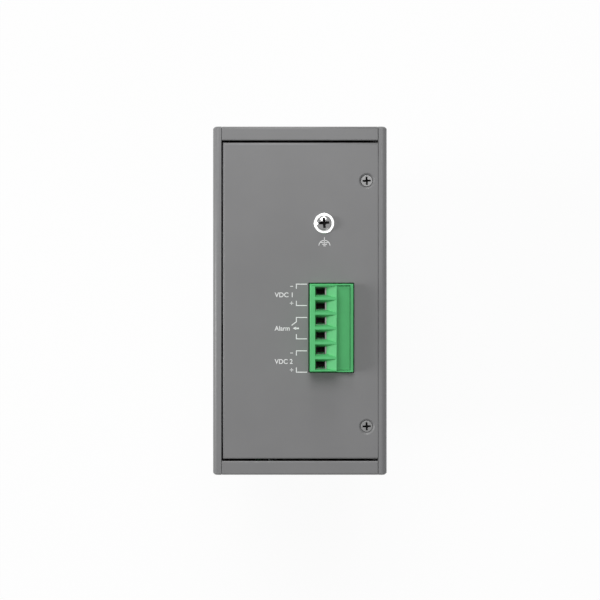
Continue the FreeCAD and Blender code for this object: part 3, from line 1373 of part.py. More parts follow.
# ---------------------------------------------------------------- every node of the switch
PARTS = {
    "left_side_plate": left_side_plate,
    "right_side_plate": right_side_plate,
    "front_panel": front_panel,
    "rear_panel": rear_panel,
    "top_panel": top_panel,
    "bottom_panel": bottom_panel,
    "top_panel_screws": top_panel_screws,
    "earth_screw": earth_screw,
    "earth_washer": earth_washer,
    "earth_nut": earth_nut,
    "terminal_header": terminal_header,
    "header_pins": header_pins,
    "terminal_plug": terminal_plug,
    "terminal_clamps": terminal_clamps,
    "terminal_screws": terminal_screws,
    "plug_contacts": plug_contacts,
    "main_board": main_board,
    "power_board": power_board,
    "board_standoffs": board_standoffs,
    "board_spacers": board_spacers,
    "board_socket": board_socket,
    "board_header": board_header,
    "rj45_shield": rj45_shield,
    "rj45_housing": rj45_housing,
    "rj45_contacts": rj45_contacts,
    "sfp_cage": sfp_cage,
    "sfp_connectors": sfp_connectors,
    "status_light_pipes": status_light_pipes,
    "status_leds": status_leds,
    "switch_chip": switch_chip,
    "heat_sink": heat_sink,
    "port_chips": port_chips,
    "memory_chips": memory_chips,
    "clock_crystal": clock_crystal,
    "power_inductors": power_inductors,
    "power_transformer": power_transformer,
    "bulk_capacitors": bulk_capacitors,
    "input_fuses": input_fuses,
    "input_choke": input_choke,
    "fault_relay": fault_relay,
    "rail_bracket": rail_bracket,
    "bracket_screws": bracket_screws,
    "rail_latch": rail_latch,
    "latch_spring": latch_spring,
}


def main():
    os.makedirs("parts", exist_ok=True)
    for name, make in PARTS.items():
        made = make()
        shapes = made if isinstance(made, list) else [made]
        solids = [solid for shape in shapes for solid in shape.Solids]
        result = solids[0] if len(solids) == 1 else Part.makeCompound(solids)
        result.exportStep("parts/" + name + ".step")
        print(f"{name}: {len(solids)} solid(s), {result.Volume:.1f} mm3, valid {result.isValid()}")


main()
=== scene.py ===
"""Looks of the DIN rail Ethernet switch: materials, fine screws, print, floor, light and camera.

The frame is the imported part's own, in metres: +X is right seen from the port side, +Y is the rail
side, +Z is up. Pieces made here are drawn in millimetres and scaled when they are placed.
"""

import json
import math

import bmesh
import bpy
from mathutils import Matrix, Vector

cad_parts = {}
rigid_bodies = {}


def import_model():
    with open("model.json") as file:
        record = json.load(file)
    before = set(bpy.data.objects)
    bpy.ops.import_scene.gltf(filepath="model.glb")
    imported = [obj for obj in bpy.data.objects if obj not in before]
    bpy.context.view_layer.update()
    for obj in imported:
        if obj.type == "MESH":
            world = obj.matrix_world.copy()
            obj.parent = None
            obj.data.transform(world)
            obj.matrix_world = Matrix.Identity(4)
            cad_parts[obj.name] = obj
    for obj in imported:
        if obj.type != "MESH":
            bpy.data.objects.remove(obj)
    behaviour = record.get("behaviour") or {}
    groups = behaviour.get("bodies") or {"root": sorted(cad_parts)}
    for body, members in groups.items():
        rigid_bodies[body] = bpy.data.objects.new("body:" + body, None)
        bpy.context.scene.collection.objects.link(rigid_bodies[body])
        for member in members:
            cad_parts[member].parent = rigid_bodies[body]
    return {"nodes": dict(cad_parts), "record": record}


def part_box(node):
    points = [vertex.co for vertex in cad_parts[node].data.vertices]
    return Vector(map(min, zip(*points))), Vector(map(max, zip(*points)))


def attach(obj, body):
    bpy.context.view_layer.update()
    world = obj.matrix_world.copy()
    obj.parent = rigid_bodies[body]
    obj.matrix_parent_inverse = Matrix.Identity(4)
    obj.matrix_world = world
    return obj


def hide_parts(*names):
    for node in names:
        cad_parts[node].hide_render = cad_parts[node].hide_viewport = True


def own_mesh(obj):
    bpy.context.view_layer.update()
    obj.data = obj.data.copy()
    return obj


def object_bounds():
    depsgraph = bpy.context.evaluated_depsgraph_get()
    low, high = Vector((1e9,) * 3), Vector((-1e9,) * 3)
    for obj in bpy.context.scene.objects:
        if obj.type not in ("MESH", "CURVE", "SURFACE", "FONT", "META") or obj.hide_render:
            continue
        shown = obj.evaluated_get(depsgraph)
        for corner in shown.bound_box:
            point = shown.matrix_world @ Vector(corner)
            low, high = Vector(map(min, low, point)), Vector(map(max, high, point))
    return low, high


MM = 0.001

# ---------------------------------------------------------------- settings
# Lengths are in millimetres and angles in degrees, unless a line says otherwise.

CAMERA_HEIGHT = 400.0
VIEW_WIDTH = 209.9
VIEW_CENTRE = (0.04, 0.25)
SENSOR = 36.0
CLIP_METRES = (0.01, 20)

# The floor's size and drop, the share of the shadow that it shows, and its own grey.
FLOOR_SIZE = 6000.0
FLOOR_DROP = 0.05
FLOOR_SHADOW = 0.06
FLOOR_GREY = 0.8

# The surround's strength for matt surfaces. The camera and gloss see it at full strength.
AMBIENT = 0.14

# Lamps: azimuth from +X towards +Y, elevation, distance and diameter in metres, and level.
# At level 1 a matt surface that faces the lamp renders in its own colour.
LAMPS = {
    "key": (98, 58, 2.2, 1.3, 0.64),
    "left_rim": (180, 27, 2.2, 0.7, 0.55),
    "rear_rim": (90, 20, 2.2, 0.7, 0.22),
    "fill": (-60, 10, 2.2, 1.2, 0.17),
}

# Edges: the angle from which one counts as sharp, and how a modelled edge is rounded.
SHARP_ANGLE = 32
WELD_REACH = 0.002
BEVEL_STEPS = 2
FINE_EDGE = 0.04
HEAD_EDGE = 0.05
LATHE_STEPS = 64

# Cross recesses: arm length, arm width, depth, and the turn at which the screw stopped.
PANEL_CROSS = (1.45, 0.6, 1.3, 2)
EARTH_CROSS = (1.95, 0.85, 1.5, 4)
BRACKET_CROSS = (1.6, 0.75, 1.2, 12)

# The driver's tip: how far it starts above the head and its arms' share there, then its taper as
# shares of the depth and of the arms' length.
TIP_ABOVE = (0.6, 1.25)
TIP_TAPER = ((0.0, 1.0), (0.5, 0.72), (0.85, 0.4), (1.0, 0.12))

# Straight slots of the clamp screws: the first screw's turn, and what each next one adds.
SLOT_WIDTH = 0.5
SLOT_DEPTH = 0.6
SLOT_TURN = 20
SLOT_TURN_STEP = 47
SLOT_SCREW_STEPS = 40
SLOT_SCREW_EDGE = 0.15

# Threads, and the shanks' radius for the 2.4 mm panel screws and for the other 3 mm ones.
THREAD_PITCH = 0.5
THREAD_DEPTH = 0.24
THREAD_START = 0.3
THREAD_END = 0.5
THREAD_TIP = 0.7
PANEL_SHANK = 1.2
SHANK = 1.5

# The flush heads: points of the edge as distance in from the rim and height, the neck's radius and
# height, and where the shank starts.
FLUSH_EDGE = ((0.34, 0.0), (0.22, -0.08), (0.18, -0.3))
FLUSH_NECK = (1.3, -1.25)
FLUSH_END = -1.5

# Pan heads: the dome's steps, the side's inset and bevel, the rounding at the seat, each kind's
# drop of the dome and depth at which its side starts, and the height of the bracket screws' heads.
DOME_STEPS = 8
DOME_STEP = 10.5
SIDE_INSET = 0.02
SIDE_BEVEL = 0.25
HEAD_ROUND = 0.12
EARTH_DOME = (0.62, 0.85)
BRACKET_DOME = (0.5, 0.7)
BRACKET_HEAD = 1.9

# The flat washer's hole, and the roundings of its inner and outer edges.
WASHER_HOLE = 1.62
WASHER_INNER_EDGE = 0.08
WASHER_OUTER_EDGE = (0.15, 0.12)

# The latch's spring: the strip's thickness, its layers, and the steps of each turn.
SPRING_STRIP = 0.5
SPRING_LEVELS = 3
SPRING_TURN_STEPS = 10

# Print: the ink's height and the lines' widths. A letter's depth and weight are for size 1.
INK_RISE = 0.03
INK_LINE = 0.3
SIGN_LINE = 0.24
EARTH_LINE = 0.24
ARROW_LINE = 0.52
NARROWEST_MITRE = 0.35
LETTER_HALF_DEPTH = 0.5
LETTER_WEIGHT = 0.012

# Print beside the terminal: each group's word and its width. The groups go down from the
# terminal's rear edge by their own step, and places are left of the terminal's left edge.
GROUPS = (("VDC 1", 6.3), ("Alarm", 5.3), ("VDC 2", 6.3))
ALARM_GROUP = 1
GROUP_STEP = 11.66
GROUP_SPAN = 7.47
GROUP_START = 0.1
LEAD_END = 0.5
LEAD_TURN = 4.23
LEAD_DROP = 1.65
SIGN_PLACE = 5.91
WORD_PLACE = 5.53
WORD_HEIGHT = 1.69
WORD_DROP = 3.74
MINUS_DROP = 0.75
MINUS_HALF = 0.5
PLUS_RISE = 0.8
PLUS_HALF = 0.6

# The alarm contact's blade from its start to its tip, and the arrow between it and the word.
BLADE_DROPS = (1.47, 2.77)
ARROW_DROP = 3.79
ARROW_HEAD = (1.2, 0.56)
ARROW_TAIL = (1.1, 2.21)
ARROW_GAP = 1.02

# The earth sign below the washer: its shift to the right, then drops below the washer's edge.
EARTH_SHIFT = 0.14
EARTH_STEM = (1.37, 3.65)
EARTH_ARC_DROP = 4.37
EARTH_ARC_RADIUS = 1.95
EARTH_ARC_TURN = (4, 176)
EARTH_ARC_STEPS = 16
EARTH_BARS = ((3.23, 1.3), (3.82, 0.85), (4.35, 0.4))

# The ports' numbers: their height, and their distance from the jack's left and right side.
NUMBER_HEIGHT = 2.0
NUMBER_LEFT = 1.4
NUMBER_RIGHT = 2.6

# Stretching of a noise, for marks drawn out along one of the object's axes.
ALONG_Z = (1, 1, 0.1)
FLOW_Z = (1, 1, 0.15)
ROLLED_Z = (1, 1, 0.2)
ALONG_X = (0.05, 1, 1)


# ---------------------------------------------------------------- meshes

def add_object(name, bm, materials):
    """Makes a piece of the housing from a bmesh, smooth by angle, with its materials."""
    mesh = bpy.data.meshes.new(name)
    bmesh.ops.recalc_face_normals(bm, faces=bm.faces)
    bm.to_mesh(mesh)
    bm.free()
    piece = bpy.data.objects.new(name, mesh)
    bpy.context.scene.collection.objects.link(piece)
    for material in materials:
        mesh.materials.append(material)
    mesh.polygons.foreach_set("use_smooth", [True] * len(mesh.polygons))
    mesh.set_sharp_from_angle(angle=math.radians(SHARP_ANGLE))
    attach(piece, "housing")
    return piece


def soften(piece, width):
    """Rounds a piece's edges with a bevel, so that they catch the light."""
    weld = piece.modifiers.new("weld", "WELD")
    weld.merge_threshold = WELD_REACH * MM
    bevel = piece.modifiers.new("soften", "BEVEL")
    bevel.width = width * MM
    bevel.segments = BEVEL_STEPS
    bevel.limit_method = "ANGLE"
    bevel.angle_limit = math.radians(SHARP_ANGLE)
    bevel.harden_normals = True
    bevel.use_clamp_overlap = True


def level_faces(piece):
    """Keeps a piece's large faces flat in shading, next to the smooth roundings."""
    normals = piece.modifiers.new("level", "WEIGHTED_NORMAL")
    normals.keep_sharp = True


def append(target, source):
    """Adds one bmesh to another and frees it."""
    mesh = bpy.data.meshes.new("joined")
    source.to_mesh(mesh)
    source.free()
    target.from_mesh(mesh)
    bpy.data.meshes.remove(mesh)


def placed(bm, spot, direction=Vector((0, 0, 1))):
    """Moves a shape drawn in millimetres to its spot, with its +Z turned to the direction."""
    turn = direction.to_track_quat("Z", "Y").to_matrix().to_4x4()
    matrix = Matrix.Translation(spot) @ turn @ Matrix.Scale(MM, 4)
    bmesh.ops.transform(bm, matrix=matrix, verts=bm.verts)
    return bm


def lathe(profile, steps=LATHE_STEPS):
    """A turned shape about the Z axis, from a profile of (radius, height) points."""
    bm = bmesh.new()
    rings = []
    for radius, height in profile:
        if radius < 1e-6:
            rings.append([bm.verts.new((0, 0, height))])
            continue
        ring = []
        for i in range(steps):
            turn = 2 * math.pi * i / steps
            ring.append(bm.verts.new((radius * math.cos(turn), radius * math.sin(turn), height)))
        rings.append(ring)
    for low, high in zip(rings, rings[1:]):
        for i in range(steps):
            corners = [low[i % len(low)], low[(i + 1) % len(low)]]
            corners += [high[(i + 1) % len(high)], high[i % len(high)]]
            distinct = list(dict.fromkeys(corners))
            if len(distinct) > 2:
                bm.faces.new(distinct)
    return bm


def arc(centre, radius, start, end, count):
    """Points along a circular arc, angles in degrees from the first axis."""
    points = []
    for i in range(count + 1):
        turn = math.radians(start + (end - start) * i / count)
        points.append((centre[0] + radius * math.cos(turn), centre[1] + radius * math.sin(turn)))
    return points


def cross_cutter(cross, top):
    """A tapered cross, as the driver's tip that forms a screw's recess."""
    length, width, depth, turn = cross
    levels = [TIP_ABOVE] + [(-depth * down, share) for down, share in TIP_TAPER]
    bm = bmesh.new()
    rings = []
    for height, share in levels:
        reach = length * share
        arm = width / 2 * min(1.0, 0.75 + 0.25 * share, 1.2 * share)
        ring = []
        for quarter in range(4):
            angle = math.radians(90 * quarter + turn)
            for x, y in ((reach, -arm), (reach, arm), (arm * 1.2, arm * 1.2)):
                px = x * math.cos(angle) - y * math.sin(angle)
                py = x * math.sin(angle) + y * math.cos(angle)
                ring.append(bm.verts.new((px, py, top + height)))
        rings.append(ring)
    count = len(rings[0])
    for upper, lower in zip(rings, rings[1:]):
        for i in range(count):
            j = (i + 1) % count
            bm.faces.new((upper[i], upper[j], lower[j], lower[i]))
    bm.faces.new(rings[0])
    bm.faces.new(rings[-1])
    return bm


def slot_cutter(radius, top):
    """A straight slot across a screw's end."""
    bm = bmesh.new()
    size = Matrix.Diagonal((2.4 * radius, SLOT_WIDTH, 2 * SLOT_DEPTH, 1))
    bmesh.ops.create_cube(bm, size=1.0, matrix=Matrix.Translation((0, 0, top)) @ size)
    return bm


def close_band(bm, rings):
    """Joins rings of four vertices into a solid band with closed ends."""
    for one, two in zip(rings, rings[1:]):
        for i in range(4):
            j = (i + 1) % 4
            bm.faces.new((one[i], one[j], two[j], two[i]))
    bm.faces.new(rings[0])
    bm.faces.new(rings[-1])


def cut(bm, cutter):
    """The first bmesh with the second taken away. The new faces get the second material."""
    made = []
    for name, shape, index in (("cut_from", bm, 0), ("cutter", cutter, 1)):
        mesh = bpy.data.meshes.new(name)
        bmesh.ops.recalc_face_normals(shape, faces=shape.faces)
        for face in shape.faces:
            face.material_index = index
        shape.to_mesh(mesh)
        shape.free()
        mesh.materials.append(None)
        mesh.materials.append(None)
        thing = bpy.data.objects.new(name, mesh)
        bpy.context.scene.collection.objects.link(thing)
        made.append(thing)
    base, tool = made
    boolean = base.modifiers.new("cut", "BOOLEAN")
    boolean.operation = "DIFFERENCE"
    boolean.solver = "EXACT"
    boolean.object = tool
    bpy.context.view_layer.update()
    result = bmesh.new()
    result.from_object(base, bpy.context.evaluated_depsgraph_get())
    for thing in made:
        mesh = thing.data
        bpy.data.objects.remove(thing)
        bpy.data.meshes.remove(mesh)
    return result


def solid_boxes(node):
    """The lowest and highest corner, in millimetres, of each solid of a node, by Y, then X."""
    bm = bmesh.new()
    bm.from_mesh(frame["nodes"][node].data)
    bmesh.ops.remove_doubles(bm, verts=bm.verts, dist=1e-6)
    left = set(bm.verts)
    boxes = []
    while left:
        group = {left.pop()}
        edge = set(group)
        while edge:
            edge = {e.other_vert(v) for v in edge for e in v.link_edges} & left
            left -= edge
            group |= edge
        low = Vector([min(v.co[i] for v in group) for i in range(3)]) / MM
        high = Vector([max(v.co[i] for v in group) for i in range(3)]) / MM
        boxes.append((low, high))
    bm.free()
    return sorted(boxes, key=lambda box: (round(box[0].y, 3), round(box[0].x, 3)))


# ---------------------------------------------------------------- materials

class Finish:
    """A procedural material on a Principled shader, in the object's own coordinates."""

    def __init__(self, name, colour, roughness, metallic=0.0, specular=0.5):
        self.material = bpy.data.materials.new(name)
        self.material.use_nodes = True
        self.tree = self.material.node_tree
        self.shader = self.tree.nodes["Principled BSDF"]
        self.shader.inputs["Base Color"].default_value = (*colour, 1)
        self.shader.inputs["Roughness"].default_value = roughness
        self.shader.inputs["Metallic"].default_value = metallic
        self.shader.inputs["Specular IOR Level"].default_value = specular
        self.colour = colour
        self.place = self.node("ShaderNodeTexCoord").outputs["Object"]
        self.normal = None

    def node(self, kind, **settings):
        """Adds a shader node with these settings."""
        made = self.tree.nodes.new(kind)
        for key, value in settings.items():
            setattr(made, key, value)
        return made

    def link(self, source, target):
        self.tree.links.new(source, target)

    def stretched(self, x, y, z):
        """The object's coordinates scaled along each axis."""
        mapping = self.node("ShaderNodeMapping")
        mapping.inputs["Scale"].default_value = (x, y, z)
        self.link(self.place, mapping.inputs["Vector"])
        return mapping.outputs["Vector"]

    def noise(self, per_metre, detail=2.0, rough=0.5, place=None):
        """Soft noise, its size given by how often it changes in a metre."""
        made = self.node("ShaderNodeTexNoise")
        made.inputs["Scale"].default_value = per_metre
        made.inputs["Detail"].default_value = detail
        made.inputs["Roughness"].default_value = rough
        self.link(place or self.place, made.inputs["Vector"])
        return made.outputs["Fac"]

    def cells(self, per_metre):
        """Cells as crystals form them, by the distance from each one's middle."""
        made = self.node("ShaderNodeTexVoronoi")
        made.inputs["Scale"].default_value = per_metre
        self.link(self.place, made.inputs["Vector"])
        return made.outputs["Distance"]

    def spread(self, value, low, high, start=0.3, end=0.7):
        """A value that goes from low to high as the given one goes from start to end."""
        made = self.node("ShaderNodeMapRange")
        made.inputs["From Min"].default_value = start
        made.inputs["From Max"].default_value = end
        made.inputs["To Min"].default_value = low
        made.inputs["To Max"].default_value = high
        self.link(value, made.inputs["Value"])
        return made.outputs["Result"]

    def mixed(self, factor, first, second):
        """Two colours mixed by the factor. Each is a colour or a socket."""
        made = self.node("ShaderNodeMix", data_type="RGBA")
        self.link(factor, made.inputs["Factor"])
        for socket, value in (("A", first), ("B", second)):
            target = [s for s in made.inputs if s.name == socket and s.type == "RGBA"][0]
            if isinstance(value, bpy.types.NodeSocket):
                self.link(value, target)
            else:
                target.default_value = (*value, 1)
        return [s for s in made.outputs if s.type == "RGBA"][0]

    def shade(self, amount, per_metre):
        """Broad, faint changes of the colour over the surface."""
        dark = [c * (1 - amount) for c in self.colour]
        light = [min(1.0, c * (1 + amount)) for c in self.colour]
        factor = self.spread(self.noise(per_metre, 3), 0, 1)
        self.colour_from(self.mixed(factor, dark, light))

    def colour_from(self, socket):
        """Takes the surface's colour from a socket."""
        self.painted = socket
        self.link(socket, self.shader.inputs["Base Color"])

    def gloss(self, low, high, per_metre, place=None):
        """Roughness that changes over the surface."""
        self.link(self.spread(self.noise(per_metre, 3, 0.6, place), low, high),
                  self.shader.inputs["Roughness"])

    def relief(self, height, distance_mm, strength=1.0):
        """Bumps of that height on the surface, over any bumps made before."""
        made = self.node("ShaderNodeBump")
        made.inputs["Strength"].default_value = strength
        made.inputs["Distance"].default_value = distance_mm * MM
        self.link(height, made.inputs["Height"])
        if self.normal is not None:
            self.link(self.normal, made.inputs["Normal"])
        self.normal = made.outputs["Normal"]
        self.link(self.normal, self.shader.inputs["Normal"])

    def worn(self, colour, radius_mm, amount):
        """Another colour along the edges, broken up by noise, as handling leaves it."""
        bevel = self.node("ShaderNodeBevel", samples=4)
        bevel.inputs["Radius"].default_value = radius_mm * MM
        geometry = self.node("ShaderNodeNewGeometry")
        dot = self.node("ShaderNodeVectorMath", operation="DOT_PRODUCT")
        self.link(bevel.outputs["Normal"], dot.inputs[0])
        self.link(geometry.outputs["Normal"], dot.inputs[1])
        edge = self.spread(dot.outputs["Value"], amount, 0, 0.82, 0.995)
        patchy = self.node("ShaderNodeMath", operation="MULTIPLY")
        self.link(edge, patchy.inputs[0])
        self.link(self.spread(self.noise(420, 4), 0.35, 1), patchy.inputs[1])
        self.colour_from(self.mixed(patchy.outputs["Value"], self.painted, colour))


def painted_finish(name, colour, grain_mm):
    """Powder coat: a satin skin with fine orange peel, a little paler on worn edges."""
    made = Finish(name, colour, 0.4, specular=0.42)
    made.shade(0.03, 55)
    made.gloss(0.36, 0.44, 900)
    made.relief(made.noise(2600, 2, 0.5), grain_mm)
    made.relief(made.noise(700, 1, 0.4), grain_mm * 1.2, 0.6)
    made.worn([min(1, c * 1.3) for c in colour], 0.12, 0.35)
    return made.material


def plastic_finish(name, colour, roughness, grain=5200, depth_mm=0.006, shade=0.05,
                   specular=0.5):
    """Moulded plastic: fine spark-eroded grain and slight flow marks."""
    made = Finish(name, colour, roughness, specular=specular)
    made.shade(shade, 160)
    made.gloss(roughness - 0.06, roughness + 0.06, 1400)
    made.relief(made.noise(grain, 2, 0.6), depth_mm)
    flow = made.stretched(*FLOW_Z)
    made.relief(made.noise(900, 2, 0.5, flow), depth_mm * 0.8, 0.5)
    made.worn([min(1, c * 1.25 + 0.01) for c in colour], 0.08, 0.3)
    return made.material


def metal_finish(name, colour, roughness, stretch=(1, 1, 1), depth_mm=0.004, shade=0.06):
    """Plated or brushed metal: drawn scratches along one way and cloudy plating."""
    scratch = 2400
    made = Finish(name, colour, roughness, metallic=1.0)
    made.shade(shade, 240)
    drawn = made.stretched(*stretch)
    made.gloss(max(0.05, roughness - 0.07), roughness + 0.08, scratch, drawn)
    made.relief(made.noise(scratch, 2, 0.6, drawn), depth_mm, 0.7)
    return made.material


def recess_finish(name, colour):
    """Painted shade: a near-black, matt, uneven colour with hardly any gloss, for the bottoms of
    recesses and for contacts deep in holes, where shade falls.
    """
    made = Finish(name, colour, 0.75, specular=0.12)
    made.shade(0.15, 900)
    made.gloss(0.65, 0.85, 1800)
    made.relief(made.noise(3000, 3, 0.6), 0.006)
    return made.material


def zinc_finish(name, colour, roughness):
    """Zinc plate on pressed steel: small crystal patches and drawn lines."""
    made = Finish(name, colour, roughness, metallic=1.0)
    tone = made.spread(made.cells(420), 0, 1, 0.0, 0.9)
    made.colour_from(made.mixed(tone, colour, [c * 0.86 for c in colour]))
    made.gloss(roughness - 0.06, roughness + 0.1, 1100)
    made.relief(made.noise(1800, 3, 0.6, made.stretched(*ROLLED_Z)), 0.004, 0.6)
    return made.material


def board_finish(name, colour):
    """Solder mask over copper: thin raised tracks under a glossy green skin."""
    made = Finish(name, colour, 0.32)
    tracks = made.node("ShaderNodeTexBrick", offset=0.5, squash=0.6, squash_frequency=3)
    tracks.inputs["Scale"].default_value = 230
    tracks.inputs["Mortar Size"].default_value = 0.012
    tracks.inputs["Mortar Smooth"].default_value = 0.1
    turned = made.node("ShaderNodeMapping")
    turned.inputs["Rotation"].default_value = (0, math.radians(90), 0)
    made.link(made.place, turned.inputs["Vector"])
    made.link(turned.outputs["Vector"], tracks.inputs["Vector"])
    pale = [min(1, c * 1.7 + 0.01) for c in colour]
    made.colour_from(made.mixed(tracks.outputs["Fac"], colour, pale))
    made.gloss(0.26, 0.4, 700)
    made.relief(tracks.outputs["Fac"], 0.02, 0.8)
    return made.material


def clear_finish(name):
    """Clear acrylic for the light pipes, a little cloudy inside."""
    made = Finish(name, (0.93, 0.96, 0.97), 0.12)
    made.shader.inputs["Transmission Weight"].default_value = 0.5
    made.shader.inputs["IOR"].default_value = 1.49
    made.shade(0.04, 300)
    made.gloss(0.08, 0.2, 900)
    made.relief(made.noise(1500, 2), 0.003)
    return made.material


def ink_finish(name, colour):
    """Screen-printed ink: slightly uneven and matt."""
    made = Finish(name, colour, 0.6)
    made.shade(0.06, 1500)
    made.gloss(0.5, 0.7, 2500)
    made.relief(made.noise(5000, 2), 0.004)
    return made.material


# ---------------------------------------------------------------- screws and spring

def thread(radius, top, bottom):
    """The rest of a screw's profile: rings of thread down to a chamfered end."""
    points = []
    height = top - THREAD_START
    while height - THREAD_PITCH > bottom + THREAD_END:
        points += [(radius, height), (radius - THREAD_DEPTH, height - THREAD_PITCH * 0.4)]
        height -= THREAD_PITCH
    points += [(radius, height), (radius * THREAD_TIP, bottom), (0, bottom)]
    return points


def domed(radius, rise, dome):
    """Profile of a pan head's top and side, down to its seat at height 0, and its shank."""
    drop, side_drop = dome
    inner = radius - HEAD_ROUND
    side = rise - side_drop
    points = [(0, rise)]
    for i in range(1, DOME_STEPS + 1):
        tilt = math.radians(90 - i * DOME_STEP)
        points.append((inner * math.cos(tilt), rise - drop * (1 - math.sin(tilt))))
    points += [(radius - SIDE_INSET, side), (radius, side - SIDE_BEVEL)]
    return points + [(radius, HEAD_ROUND), (inner, 0.0), (SHANK, 0.0)]


def panel_screws(steel, shade):
    """Two flush countersunk heads with a cross recess each, in place of the plain ones."""
    bm = bmesh.new()
    for low, high in solid_boxes("top_panel_screws"):
        radius = (high.x - low.x) / 2
        # The flat head stops short of the hole's rim, which leaves a fine dark ring round it.
        profile = [(0, 0.0)] + [(radius - inset, height) for inset, height in FLUSH_EDGE]
        profile += [FLUSH_NECK, (PANEL_SHANK, FLUSH_END)]
        shape = lathe(profile + thread(PANEL_SHANK, FLUSH_END, low.z - high.z))
        shape = cut(shape, cross_cutter(PANEL_CROSS, 0))
        spot = Vector(((low.x + high.x) / 2, (low.y + high.y) / 2, high.z)) * MM
        append(bm, placed(shape, spot))
    piece = add_object("panel_screws", bm, [steel, shade])
    soften(piece, FINE_EDGE)
    level_faces(piece)
    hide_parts("top_panel_screws")


def earth_screw(steel, shade, washer_steel):
    """A domed head with a cross recess, and its flat washer with rounded edges."""
    low, high = solid_boxes("earth_screw")[0]
    washer_low, washer_high = solid_boxes("earth_washer")[0]
    radius = (high.x - low.x) / 2
    rise = high.z - washer_high.z
    shape = lathe(domed(radius, rise, EARTH_DOME) + thread(SHANK, 0.0, low.z - washer_high.z))
    shape = cut(shape, cross_cutter(EARTH_CROSS, rise))
    middle = Vector(((low.x + high.x) / 2, (low.y + high.y) / 2, 0))
    seat = (middle + Vector((0, 0, washer_high.z))) * MM
    head = add_object("earth_screw_head", placed(shape, seat), [steel, shade])
    soften(head, HEAD_EDGE)
    level_faces(head)
    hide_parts("earth_screw")
    outer = (washer_high.x - washer_low.x) / 2
    thick = washer_high.z - washer_low.z
    inner = WASHER_HOLE
    edge = WASHER_INNER_EDGE
    wide, deep = WASHER_OUTER_EDGE
    profile = [(inner, edge), (inner + edge, 0), (outer - wide, 0), (outer, deep)]
    profile += [(outer, thick - deep), (outer - wide, thick), (inner + edge, thick)]
    profile += [(inner, thick - edge), (inner, edge)]
    ring = lathe(profile)
    bmesh.ops.remove_doubles(ring, verts=ring.verts, dist=1e-4)
    spot = (middle + Vector((0, 0, washer_low.z))) * MM
    washer = add_object("earth_flat_washer", placed(ring, spot), [washer_steel])
    soften(washer, HEAD_EDGE)
    level_faces(washer)
    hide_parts("earth_washer")


def clip_screws(steel, shade):
    """The rail bracket's two pan-head screws, seen from the rail side."""
    bm = bmesh.new()
    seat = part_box("bracket_screws")[1].y / MM - BRACKET_HEAD
    for low, high in solid_boxes("bracket_screws"):
        radius = (high.x - low.x) / 2
        rise = high.y - seat
        shape = lathe(domed(radius, rise, BRACKET_DOME) + thread(SHANK, 0.0, low.y - seat))
        shape = cut(shape, cross_cutter(BRACKET_CROSS, rise))
        spot = Vector(((low.x + high.x) / 2, seat, (low.z + high.z) / 2)) * MM
        append(bm, placed(shape, spot, Vector((0, 1, 0))))
    piece = add_object("clip_screws", bm, [steel, shade])
    soften(piece, HEAD_EDGE)
    level_faces(piece)
    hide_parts("bracket_screws")


def clamp_screws(steel, shade):
    """The terminal's six clamp screws, each with a slot for a small driver."""
    bm = bmesh.new()
    for number, (low, high) in enumerate(solid_boxes("terminal_screws")):
        radius = (high.z - low.z) / 2
        length = high.x - low.x
        edge = SLOT_SCREW_EDGE
        profile = [(0, length), (radius - edge, length), (radius, length - edge)]
        profile += [(radius, 0), (0, 0)]
        shape = cut(lathe(profile, SLOT_SCREW_STEPS), slot_cutter(radius, length))
        turn = math.radians(SLOT_TURN + SLOT_TURN_STEP * number)
        bmesh.ops.rotate(shape, verts=shape.verts, cent=(0, 0, 0),
                         matrix=Matrix.Rotation(turn, 3, "Z"))
        spot = Vector((low.x, (low.y + high.y) / 2, (low.z + high.z) / 2)) * MM
        append(bm, placed(shape, spot, Vector((1, 0, 0))))
    piece = add_object("clamp_screws", bm, [steel, shade])
    soften(piece, FINE_EDGE)
    level_faces(piece)
    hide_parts("terminal_screws")


def latch_spring(steel):
    """The folded strip spring over the bracket's tang, which the sliding latch squeezes in the real
    part. Here its shape stays fixed.
    """
    low, high = (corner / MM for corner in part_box("latch_spring"))
    half = SPRING_STRIP / 2
    step = (high.z - low.z - SPRING_STRIP) / (SPRING_LEVELS - 1)
    reach = (high.x - low.x - SPRING_STRIP - step) / 2
    path = [(reach, low.z + half)]
    side = -1
    for level in range(SPRING_LEVELS):
        height = low.z + half + level * step
        path.append((side * reach, height))
        if level + 1 < SPRING_LEVELS:
            turn = arc((0, height + step / 2), step / 2, -90, 90, SPRING_TURN_STEPS)
            path += [(side * (reach + x), z) for x, z in turn[1:]]
        side = -side
    bm = bmesh.new()
    rings = []
    for i, point in enumerate(path):
        before = Vector(path[max(0, i - 1)])
        after = Vector(path[min(len(path) - 1, i + 1)])
        along = (after - before).normalized()
        across = Vector((-along.y, along.x)) * half
        corners = []
        for way, y in ((1, low.y), (-1, low.y), (-1, high.y), (1, high.y)):
            x, z = point[0] + way * across.x, point[1] + way * across.y
            corners.append(bm.verts.new((x, y, z)))
        rings.append(corners)
    close_band(bm, rings)
    bmesh.ops.scale(bm, vec=(MM, MM, MM), verts=bm.verts)
    piece = add_object("strip_spring", bm, [steel])
    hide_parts("latch_spring")
    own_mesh(piece)


# ---------------------------------------------------------------- print

def strip(bm, points, width, top):
    """Adds a flat printed line through the points (x, y in mm), with mitred corners."""
    rings = []
    for i, point in enumerate(points):
        ways = []
        if i > 0:
            ways.append((Vector(point) - Vector(points[i - 1])).normalized())
        if i + 1 < len(points):
            ways.append((Vector(points[i + 1]) - Vector(point)).normalized())
        along = sum(ways, Vector((0, 0))).normalized()
        across = Vector((-along.y, along.x))
        lean = abs(across.dot(Vector((-ways[0].y, ways[0].x))))
        half = width / 2 / max(NARROWEST_MITRE, lean)
        left = Vector(point) + across * half
        right = Vector(point) - across * half
        corners = [(left, top), (right, top), (right, top + INK_RISE), (left, top + INK_RISE)]
        rings.append([bm.verts.new((p.x, p.y, z)) for p, z in corners])
    close_band(bm, rings)


